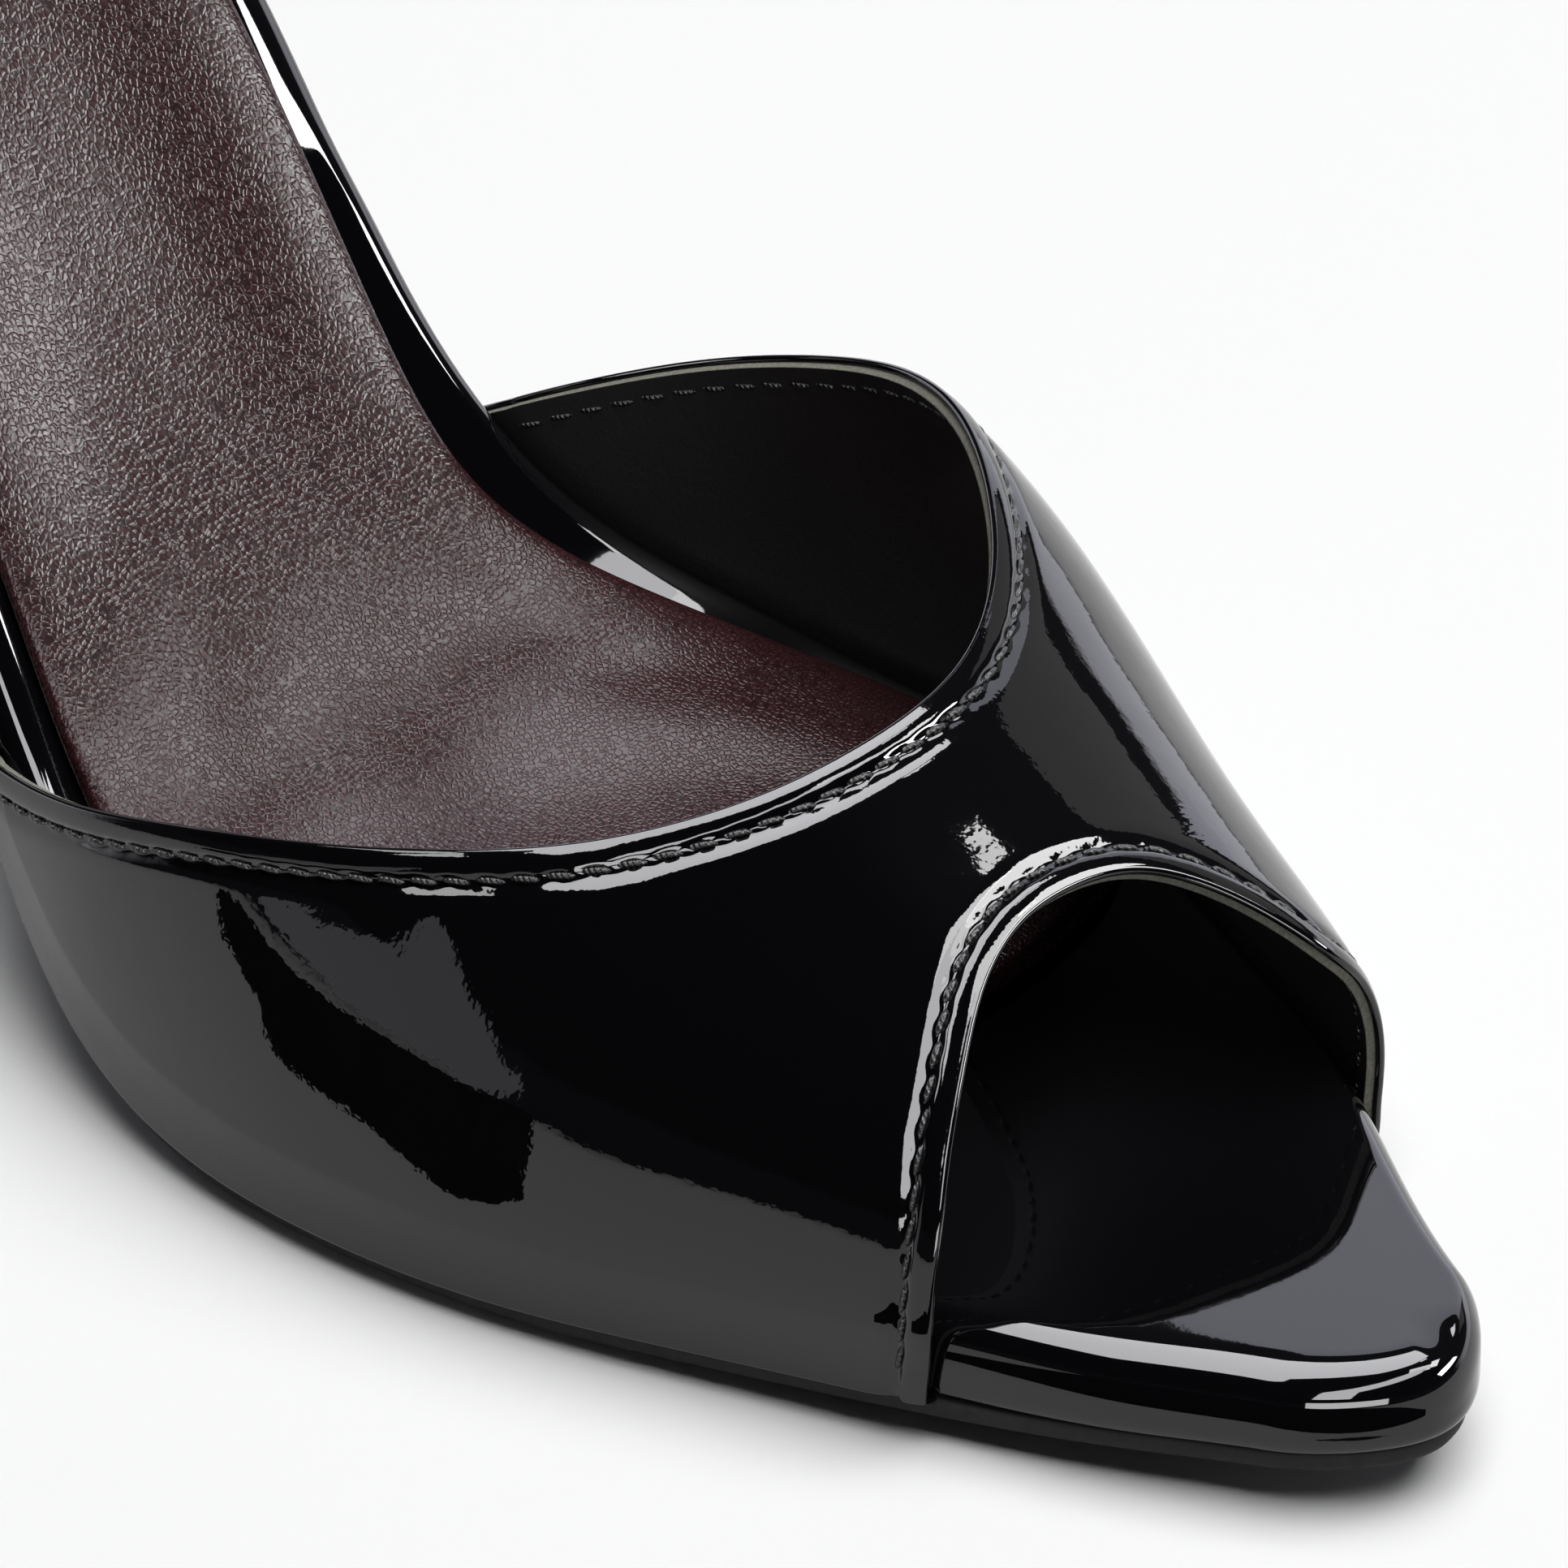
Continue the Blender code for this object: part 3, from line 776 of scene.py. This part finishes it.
def vamp_point(x, share):
    """The vamp's outer face at x, a share of the way round from its medial to its lateral base.

    Each section is half an ellipse over the footbed, a little full at its shoulders and leaning to
    the medial side, with nearly upright walls below the footbed's top.
    """
    lateral = -around_bed(x, "lateral", GLUE + WALL)
    medial = around_bed(x, "medial", GLUE + WALL)
    rise = column(CROWN, "rise", x)
    lean = column(CROWN, "lean", x)
    low = np.arcsin(BOARD / rise)
    turn = (math.pi + 2.0 * low) * share - low
    up = np.sin(turn)
    across = np.cos(turn)
    full = 1.0 + FULLNESS * np.sin(2.0 * turn) ** 2
    below = up < 0.0
    tuck = TUCK + (1.0 - TUCK) * (1.0 - smooth_step(0.0, TUCK_DEPTH, -rise * up))
    wall = np.sign(across) * (1.0 - tuck * (1.0 - np.abs(across)))
    y = (lateral + medial) / 2.0 + (medial - lateral) / 2.0 * np.where(below, wall, across * full)
    y = y + lean * np.clip(up, 0.0, 1.0)
    z = bed_height(x) + rise * np.where(below, up, up * full)
    return np.stack([x, y, z], axis=-1)


def vamp_normal(x, share):
    """Outward normal of the vamp: the way round crossed with the way along, both by small steps."""
    along = vamp_point(x + STEP_ALONG, share) - vamp_point(x - STEP_ALONG, share)
    around = vamp_point(x, share + STEP_ROUND) - vamp_point(x, share - STEP_ROUND)
    return unit(np.cross(around, along))


def vamp_edge(share, name, inwards):
    """A cut edge of the vamp: its x, the way in from it, how steps in x follow that way, and its length.

    reach is the step in x that goes one millimetre in from the edge, and slip is how far along the
    edge that step also goes.
    """
    x = column(EDGE, name, share)
    point = vamp_point(x, share)
    along = unit(np.gradient(point, axis=0))
    normal = vamp_normal(x, share)
    inner = unit(np.cross(normal, along))
    ahead = vamp_point(x + STEP_ALONG, share) - vamp_point(x - STEP_ALONG, share)
    line = ahead / (2.0 * STEP_ALONG) * inwards
    inner = inner * np.sign(np.sum(inner * line, axis=-1, keepdims=True))
    reach = 1.0 / np.sum(line * inner, axis=-1)
    slip = np.sum(line * along, axis=-1) * reach
    return {"x": x, "inner": inner, "reach": reach * inwards, "slip": slip, "length": length_along(point)}


def fold_relief(depth, along, margin, pitch):
    """Relief of a folded and stitched edge over the single leather, by depth in from the edge.

    The fold stands a little proud and rounds off to its edge. The stitches pull a furrow, a bell
    curve that is wider on the side away from the edge, and each stitch hole adds a small pit to it.
    """
    hole = np.cos(2.0 * math.pi * along / pitch)
    step = FOLD_STEP * (1.0 - smooth_step(margin - FOLD_BEFORE, margin + FOLD_BEYOND, depth))
    rounding = -ROUNDING * (1.0 - np.clip(depth / ROUNDING_REACH, 0.0, 1.0)) ** 2
    off = depth - margin
    furrow = -FURROW * np.exp(-(off / np.where(off < 0.0, FURROW_TO_EDGE, FURROW_AWAY)) ** 2)
    pits = -PIT * hole * np.exp(-(off / PIT_REACH) ** 2)
    return step + rounding + furrow + pits


def vamp_lines(share, margin, pitch):
    """Grid of the vamp's outer face: lines parallel to each cut edge near it, and evenly spaced between.

    Returns x on the grid, the relief of both folded edges, and the edges themselves.
    """
    top = vamp_edge(share, "topline", 1.0)
    toe = vamp_edge(share, "peep", -1.0)
    sides = []
    for edge, depth in ((top, EDGE_DEPTHS), (toe, EDGE_DEPTHS[::-1])):
        lines = edge["x"][:, None] + edge["reach"][:, None] * depth
        along = edge["length"][:, None] + edge["slip"][:, None] * depth
        sides.append((lines, fold_relief(depth, along, margin, pitch)))
    (first, top_relief), (last, toe_relief) = sides
    between = first[:, -1:] + (last[:, :1] - first[:, -1:]) * np.linspace(0.0, 1.0, 60)[1:-1]
    x = np.hstack([first, between, last])
    relief = np.hstack([top_relief, np.zeros_like(between), toe_relief])
    return x, relief, top, toe


def rolled_lip(start, normal, outward, fold):
    """Half round of the fold's thickness from the outer face over the edge, then back inside."""
    turn = np.linspace(0.0, math.pi, 12)[1:]
    radius = fold / 2.0
    over = (start[:, None] + outward[:, None] * (radius * np.sin(turn))[:, None]
            - normal[:, None] * (radius * (1.0 - np.cos(turn)))[:, None])
    under = start[:, None] - normal[:, None] * fold - outward[:, None] * LIP_UNDER[:, None]
    return np.concatenate([over, under], axis=1)


def vamp_shape(sizes):
    """Patent vamp: outer face with its folded edges, a rolled lip at both cut edges, and a base turned in."""
    margin = sizes.fold_width / MM
    pitch = sizes.stitch_pitch / MM
    fold = sizes.fold / MM
    share = np.linspace(0.0, 1.0, 660)
    x, relief, top, toe = vamp_lines(share, margin, pitch)
    normal = vamp_normal(x, share[:, None])
    face = vamp_point(x, share[:, None]) + normal * (relief - FOLD_STEP)[..., None]
    top_lip = rolled_lip(face[:, 0], normal[:, 0], -top["inner"], fold)
    toe_lip = rolled_lip(face[:, -1], normal[:, -1], -toe["inner"], fold)
    grid = np.concatenate([top_lip[:, ::-1], face, toe_lip], axis=1)
    medial = grid[:1] + (BASE_TURN * (1.0, -1.0, 1.0))[:, None]
    lateral = grid[-1:] + BASE_TURN[::-1, None]
    return np.concatenate([medial, grid, lateral])


def lining_shape(sizes):
    """Lining: the vamp's inner face, and the raw cut edge between it and the patent's fold."""
    fold = sizes.fold / MM
    share = np.linspace(0.0, 1.0, 260)
    top = vamp_edge(share, "topline", 1.0)
    toe = vamp_edge(share, "peep", -1.0)
    start, stop = (edge["x"] + edge["reach"] * LINING_START for edge in (top, toe))
    x = start[:, None] + (stop - start)[:, None] * stations(0.0, 1.0, count=59)
    normal = vamp_normal(x, share[:, None])
    outer = vamp_point(x, share[:, None]) - normal * LINING_UNDER
    inner = outer - normal * (WALL - LINING_LEFT)
    raw = np.linspace(fold - LINING_UNDER, WALL - RAW_LEFT, RAW_ROWS)[:, None]
    first = outer[:, :1] - normal[:, :1] * raw
    last = outer[:, -1:] - normal[:, -1:] * raw[::-1]
    return np.concatenate([first, inner, last], axis=1)


def stitch_row(share, edge_name, inwards, depth, sink, inside, pitch, width):
    """A row of thread stitches along an edge: short capsules whose ends dive into the leather.

    Each capsule runs along the edge; its section is a circle that shrinks and sinks towards both ends.
    """
    edge = vamp_edge(share, edge_name, inwards)
    x = edge["x"] + edge["reach"] * depth
    centre = vamp_point(x, share)
    normal = vamp_normal(x, share)
    along = unit(np.gradient(centre, axis=0))
    length = length_along(centre)
    at = np.arange(pitch, length[-1] - pitch, pitch)
    centre, normal, along = (
        np.column_stack([np.interp(at, length, line[:, k]) for k in range(3)])
        for line in (centre, normal, along))
    middle = centre - unit(normal) * sink
    up = unit(normal) * (-1.0 if inside else 1.0)
    side = np.cross(unit(along), up)
    way = unit(along + side * STITCH_SLANT)
    u = STITCH_PLACES
    a = np.linspace(0.0, 2.0 * math.pi, STITCH_SIDES, endpoint=False)
    radius = width / 2.0 * np.sqrt(1.0 - np.abs(u) ** 4)
    dive = -STITCH_DIVE * width * np.abs(u) ** 3
    points = (middle[:, None, None] + way[:, None, None] * (u * pitch * STITCH_HALF)[None, :, None, None]
              + up[:, None, None] * (dive[:, None] + radius[:, None] * np.sin(a))[None, :, :, None]
              + side[:, None, None] * (radius[:, None] * np.cos(a))[None, :, :, None])
    block = ring_faces(len(u), STITCH_SIDES)[:, ::-1]
    faces = np.arange(len(at))[:, None, None] * (len(u) * STITCH_SIDES) + block
    return points.reshape(-1, 3), faces.reshape(-1, 4)


class SANDAL_OT_outsole(bpy.types.Operator):
    """Thin sole with a trimmed edge, flat on the floor under the ball of the foot"""

    bl_idname = "sandal.outsole"
    bl_label = "Outsole"

    def execute(self, context):
        board = shared(outsole_board, tuple(context.scene.sandal_colours.outsole))
        piece = closed_piece("outsole_skin", outsole_shape(), board)
        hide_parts("outsole")
        return {"FINISHED"}


class SANDAL_OT_footbed(bpy.types.Operator):
    """Footbed board wrapped in patent leather with a rolled edge"""

    bl_idname = "sandal.footbed"
    bl_label = "Footbed"

    def execute(self, context):
        piece = closed_piece("footbed_wrap", footbed_shape(), wrap_patent(context.scene))
        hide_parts("insole")
        return {"FINISHED"}


class SANDAL_OT_sock(bpy.types.Operator):
    """Padded sock of grained leather on the footbed"""

    bl_idname = "sandal.sock"
    bl_label = "Sock"

    def execute(self, context):
        scene = context.scene
        leather = shared(sock_leather, tuple(scene.sandal_colours.sock), scene.sandal_sizes.grain)
        piece = closed_piece("padded_sock", sock_shape(), leather)
        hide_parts("sock")
        return {"FINISHED"}


class SANDAL_OT_vamp(bpy.types.Operator):
    """Patent vamp band with folded, stitched edges, and its lining"""

    bl_idname = "sandal.vamp"
    bl_label = "Vamp and lining"

    def execute(self, context):
        sizes = context.scene.sandal_sizes
        colours = context.scene.sandal_colours
        grid = vamp_shape(sizes)
        stuff = [shared(patent_leather, tuple(colours.patent), "patent_leather_upper", 1.0)]
        vamp = make_piece("vamp_patent", grid, grid_faces(*grid.shape[:2]), stuff)
        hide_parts("upper")
        inside = lining_shape(sizes)
        faces = grid_faces(*inside.shape[:2])[:, ::-1]
        across = np.arange(len(faces)) % (inside.shape[1] - 1)
        raw = (across < RAW_ROWS) | (across >= inside.shape[1] - 1 - RAW_ROWS)
        skins = [
            shared(lining_leather, tuple(colours.lining)), shared(raw_leather_edge, tuple(colours.raw_edge))]
        lining = make_piece("vamp_lining", inside, faces, skins, chosen=raw.astype(np.int32))
        return {"FINISHED"}


class SANDAL_OT_stitches(bpy.types.Operator):
    """Rows of thread along the topline and the peep toe, outside and on the lining"""

    bl_idname = "sandal.stitches"
    bl_label = "Stitches"

    def execute(self, context):
        sizes = context.scene.sandal_sizes
        margin = sizes.fold_width / MM
        pitch = sizes.stitch_pitch / MM
        width = sizes.thread / MM
        share = np.linspace(*SEWN, 900)
        rows = []
        for name, inwards in (("topline", 1.0), ("peep", -1.0)):
            for depth, sink, inside in (
                    (margin, STITCH_SINK, False), (margin - LINING_NEARER, WALL - LINING_PROUD, True)):
                rows.append(stitch_row(share, name, inwards, depth, sink, inside, pitch, width))
        points = np.vstack([row[0] for row in rows])
        before = np.cumsum([0] + [len(row[0]) for row in rows[:-1]])
        faces = np.vstack([row[1] + start for row, start in zip(rows, before)])
        stuff = [shared(sewing_thread, tuple(context.scene.sandal_colours.thread), sizes.thread)]
        piece = make_piece("stitches", points, faces, stuff, weld=True)
        return {"FINISHED"}


class SANDAL_OT_heel(bpy.types.Operator):
    """Slim heel wrapped in patent leather, and its rubber top piece"""

    bl_idname = "sandal.heel"
    bl_label = "Heel and top piece"

    def execute(self, context):
        heel = closed_piece("heel_wrap", heel_shape(), wrap_patent(context.scene))
        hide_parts("heel")
        rubber = shared(tip_rubber, tuple(context.scene.sandal_colours.tip))
        tip = closed_piece("top_piece", tip_shape(), rubber)
        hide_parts("heel_tip")
        return {"FINISHED"}


# Soft lights: name, bearing round the shoe and height over the horizon, as the camera's own are, width
# and height as the shoe sees them, all in degrees, radiance, and whether matt surfaces or gloss show it.
LIGHTS = (
    ("overhead_soft", 120.0, 76.0, 52.0, 52.0, 3.6, "matt"),
    ("right_softbox", 138.5, 27.0, 24.0, 11.4, 23.0, "gloss"),
    ("fore_lamp", 158.0, 51.0, 14.0, 8.0, 13.0, "gloss"),
    ("back_lamp", -171.0, 57.5, 1.8, 5.0, 9.0, "gloss"),
    ("right_lamp", 150.0, 63.0, 12.0, 17.0, 10.0, "gloss"),
    ("left_strip", -52.0, 50.0, 22.0, 12.0, 6.0, "gloss"),
    ("low_strip", 50.0, 9.0, 34.0, 14.0, 8.0, "gloss"),
    ("far_shade", -174.0, 30.0, 16.0, 22.0, 0.33, "gloss"),
)
# How far off the lights are in metres, the point they face in the shoe's millimetres, and the watts by
# which a square metre of area lamp shows a radiance of one.
LIGHT_DISTANCE = 2.5
LIGHT_FOCUS = (170.0, 0.0, 25.0)
LAMP_WATTS = 4.0
# Low black flags on the near side and round the toe, by their foot on the floor and their height in
# millimetres, and panels further out, by their colour, radiance and the bearing and height of their corners.
# Only reflections show them.
FLAGS = (
    ("near_flag", (
        (40, -170, 19), (81, -132, 19), (110, -95, 19), (135, -83, 19), (156, -62, 19), (163, -70, 19))),
    ("toe_flag", (
        (194, -40, 2), (204, -37, 6), (213, -33, 10), (226, -26, 10.5), (239, -13, 9), (246, 0, 3))),
)
FLAG_STEPS = 60
PANELS = (
    ("near_panel", "#f2f2f8", 0.8, (
        (-31, 1), (-21, -2), (-11, -3), (-7.5, 5), (-9.5, 17), (-13, 26), (-18, 14), (-29, 4))),
    ("back_panel", "#f4f4f8", 11.5, (
        (-168, 52), (-150, 49), (-138, 54), (-104, 51), (-75, 56), (-48, 64), (-18, 66), (-22, 74),
        (-60, 79), (-100, 81), (-140, 79), (-159, 76), (-168, 64))),
    ("front_strip", "#f4f4f8", 11.0, (
        (34, 26), (36, 50), (52, 61), (80, 71), (112, 74), (148, 68), (150, 58), (128, 60), (100, 62),
        (72, 57), (54, 47), (50, 26))),
    ("backdrop", "#e9ebf8", 2.0, ((-134.3, 8), (-134.3, 42.5), (-165, 42), (-165, 8))),
)
# Floor's half width in metres.
FLOOR_HALF = 4.0
# The camera: its bearing and height in degrees, its distance in metres, the point it looks at and the
# width it sees there in the shoe's millimetres, which is the photograph's width at 17 pixels to one.
VIEW_BEARING = 45.0
VIEW_HEIGHT = 35.0
VIEW_DISTANCE = 0.9
VIEW_TARGET = (157.0, 4.12, 24.67)
VIEW_WIDTH = 1932.0 / 17.0
SENSOR = 36.0


def outward(bearing, height):
    """Unit vector from the shoe at a bearing and a height, as the views count them."""
    a = math.radians(bearing)
    e = math.radians(height)
    return np.array([math.sin(a) * math.cos(e), -math.cos(a) * math.cos(e), math.sin(e)])


def facing(way):
    """Rotation that looks back along a way out from the shoe, kept upright."""
    return Vector(way).to_track_quat("Z", "Y").to_euler()


def studio_world(scene):
    """Pale backdrop to the eye; in reflections, a sweep behind the shoe, bright low down, in a dark room."""
    world = bpy.data.worlds.new("studio")
    scene.world = world
    world.use_nodes = True
    tree = world.node_tree
    tree.nodes.clear()
    way = add_node(tree, "ShaderNodeTexCoord").outputs["Generated"]
    away = tuple(-outward(VIEW_BEARING, 0.0))
    behind = add_node(tree, "ShaderNodeVectorMath", {0: way, 1: away}, operation="DOT_PRODUCT")
    strength = add_node(tree, "ShaderNodeMapRange", {
        "Value": behind.outputs["Value"], "From Min": 0.1, "From Max": 0.4, "To Min": 0.03, "To Max": 1.95},
        interpolation_type="SMOOTHSTEP")
    level = add_node(tree, "ShaderNodeSeparateXYZ", {"Vector": way})
    pale = linear("#f4f5ff")
    sweep = add_node(tree, "ShaderNodeValToRGB", {"Fac": level.outputs["Z"]},
                     stops=[(0.0, pale), (0.19, pale), (0.23, shaded(pale, 0.02))])
    room = add_node(tree, "ShaderNodeBackground", {
        "Color": sweep.outputs["Color"], "Strength": strength.outputs["Result"]})
    seen = add_node(tree, "ShaderNodeBackground", {"Color": linear("#f8f8f8"), "Strength": 1.0})
    eye = add_node(tree, "ShaderNodeLightPath").outputs["Is Camera Ray"]
    mixed = add_node(tree, "ShaderNodeMixShader", {
        0: eye, 1: room.outputs["Background"], 2: seen.outputs["Background"]})
    add_node(tree, "ShaderNodeOutputWorld", {"Surface": mixed.outputs["Shader"]})


def stage_sheet(name, points, faces, shader, only_gloss=False):
    """Stage piece in metres, painted with one shader node, which is given as its kind, inputs and output."""
    kind, inputs, output = shader
    mesh = bpy.data.meshes.new(name)
    mesh.from_pydata(np.asarray(points).tolist(), [], faces)
    material, tree = new_material(name + "_paint")
    add_node(tree, "ShaderNodeOutputMaterial", {"Surface": add_node(tree, kind, inputs).outputs[output]})
    mesh.materials.append(material)
    sheet = bpy.data.objects.new(name, mesh)
    sheet.visible_camera = not only_gloss
    sheet.visible_diffuse = not only_gloss
    sheet.visible_shadow = not only_gloss
    bpy.context.scene.collection.objects.link(sheet)


class SANDAL_OT_stage(bpy.types.Operator):
    """Pale floor, soft studio lights and the camera at the photograph's angle"""

    bl_idname = "sandal.stage"
    bl_label = "Stage"

    def execute(self, context):
        scene = context.scene
        scene.view_settings.view_transform = "Standard"
        studio_world(scene)
        corners = ((-1.0, -1.0, 0.0), (1.0, -1.0, 0.0), (1.0, 1.0, 0.0), (-1.0, 1.0, 0.0))
        pale = ("ShaderNodeBsdfPrincipled", {
            "Base Color": tuple(scene.sandal_colours.floor), "Roughness": 0.9,
            "Specular IOR Level": 0.1}, "BSDF")
        stage_sheet("floor", np.array(corners) * FLOOR_HALF, [(0, 1, 2, 3)], pale)
        black = ("ShaderNodeBsdfDiffuse", {"Color": linear("#050505")}, "BSDF")
        for name, path in FLAGS:
            path = np.array(path, dtype=float)
            at = np.linspace(0.0, len(path) - 1.0, FLAG_STEPS)
            head = np.column_stack([spline(np.arange(len(path)), path[:, i], at) for i in range(3)])
            wall = (np.stack([head * (1.0, 1.0, 0.0), head], axis=1) - ORIGIN) * MM
            stage_sheet(name, wall.reshape(-1, 3), grid_faces(FLAG_STEPS, 2).tolist(), black, only_gloss=True)
        focus = (np.array(LIGHT_FOCUS) - ORIGIN) * MM
        for name, colour, radiance, corners in PANELS:
            sheet = [focus + outward(bearing, height) * LIGHT_DISTANCE for bearing, height in corners]
            glow = ("ShaderNodeEmission", {"Color": linear(colour), "Strength": radiance}, "Emission")
            stage_sheet(name, sheet, [tuple(range(len(corners)))], glow, only_gloss=True)
        for name, bearing, height, wide, tall, radiance, shown_by in LIGHTS:
            lamp = bpy.data.lights.new(name, "AREA")
            lamp.shape = "RECTANGLE"
            lamp.size = 2.0 * LIGHT_DISTANCE * math.tan(math.radians(wide / 2.0))
            lamp.size_y = 2.0 * LIGHT_DISTANCE * math.tan(math.radians(tall / 2.0))
            lamp.energy = LAMP_WATTS * lamp.size * lamp.size_y * radiance
            light = bpy.data.objects.new(name, lamp)
            way = outward(bearing, height)
            light.location = focus + way * LIGHT_DISTANCE
            light.rotation_euler = facing(way)
            light.visible_camera = False
            light.visible_diffuse = shown_by == "matt"
            light.visible_glossy = shown_by == "gloss"
            scene.collection.objects.link(light)
        middle = (np.array(VIEW_TARGET) - ORIGIN) * MM
        eye = bpy.data.cameras.new("camera")
        eye.sensor_width = SENSOR
        eye.lens = SENSOR * VIEW_DISTANCE / (VIEW_WIDTH * MM)
        eye.clip_start = 0.01
        camera = bpy.data.objects.new("camera", eye)
        way = outward(VIEW_BEARING, VIEW_HEIGHT)
        camera.location = middle + way * VIEW_DISTANCE
        camera.rotation_euler = facing(way)
        scene.collection.objects.link(camera)
        scene.camera = camera
        return {"FINISHED"}


class SANDAL_PT_panel(bpy.types.Panel):
    """Lists the shoe's pieces, sizes and colours"""

    bl_idname = "SANDAL_PT_panel"
    bl_label = "Heeled sandal"
    bl_space_type = "VIEW_3D"
    bl_region_type = "UI"
    bl_category = "Sandal"

    def draw(self, context):
        for operator in OPERATORS:
            self.layout.operator(operator.bl_idname)
        for group in (context.scene.sandal_sizes, context.scene.sandal_colours):
            for name in group.__annotations__:
                self.layout.prop(group, name)


OPERATORS = (
    SANDAL_OT_outsole,
    SANDAL_OT_footbed,
    SANDAL_OT_sock,
    SANDAL_OT_vamp,
    SANDAL_OT_stitches,
    SANDAL_OT_heel,
    SANDAL_OT_stage,
)
CLASSES = (SandalSizes, SandalColours) + OPERATORS + (SANDAL_PT_panel,)


def register():
    """Registers the classes and hangs the sizes and colours on the scene."""
    for kind in CLASSES:
        bpy.utils.register_class(kind)
    bpy.types.Scene.sandal_sizes = bpy.props.PointerProperty(type=SandalSizes)
    bpy.types.Scene.sandal_colours = bpy.props.PointerProperty(type=SandalColours)


def unregister():
    """Takes away what register added."""
    del bpy.types.Scene.sandal_colours
    del bpy.types.Scene.sandal_sizes
    for kind in reversed(CLASSES):
        bpy.utils.unregister_class(kind)


def main():
    """Builds the shoe and its stage."""
    register()
    bpy.ops.sandal.outsole()
    bpy.ops.sandal.footbed()
    bpy.ops.sandal.sock()
    bpy.ops.sandal.vamp()
    bpy.ops.sandal.stitches()
    bpy.ops.sandal.heel()
    bpy.ops.sandal.stage()


if __name__ == "__main__":
    main()
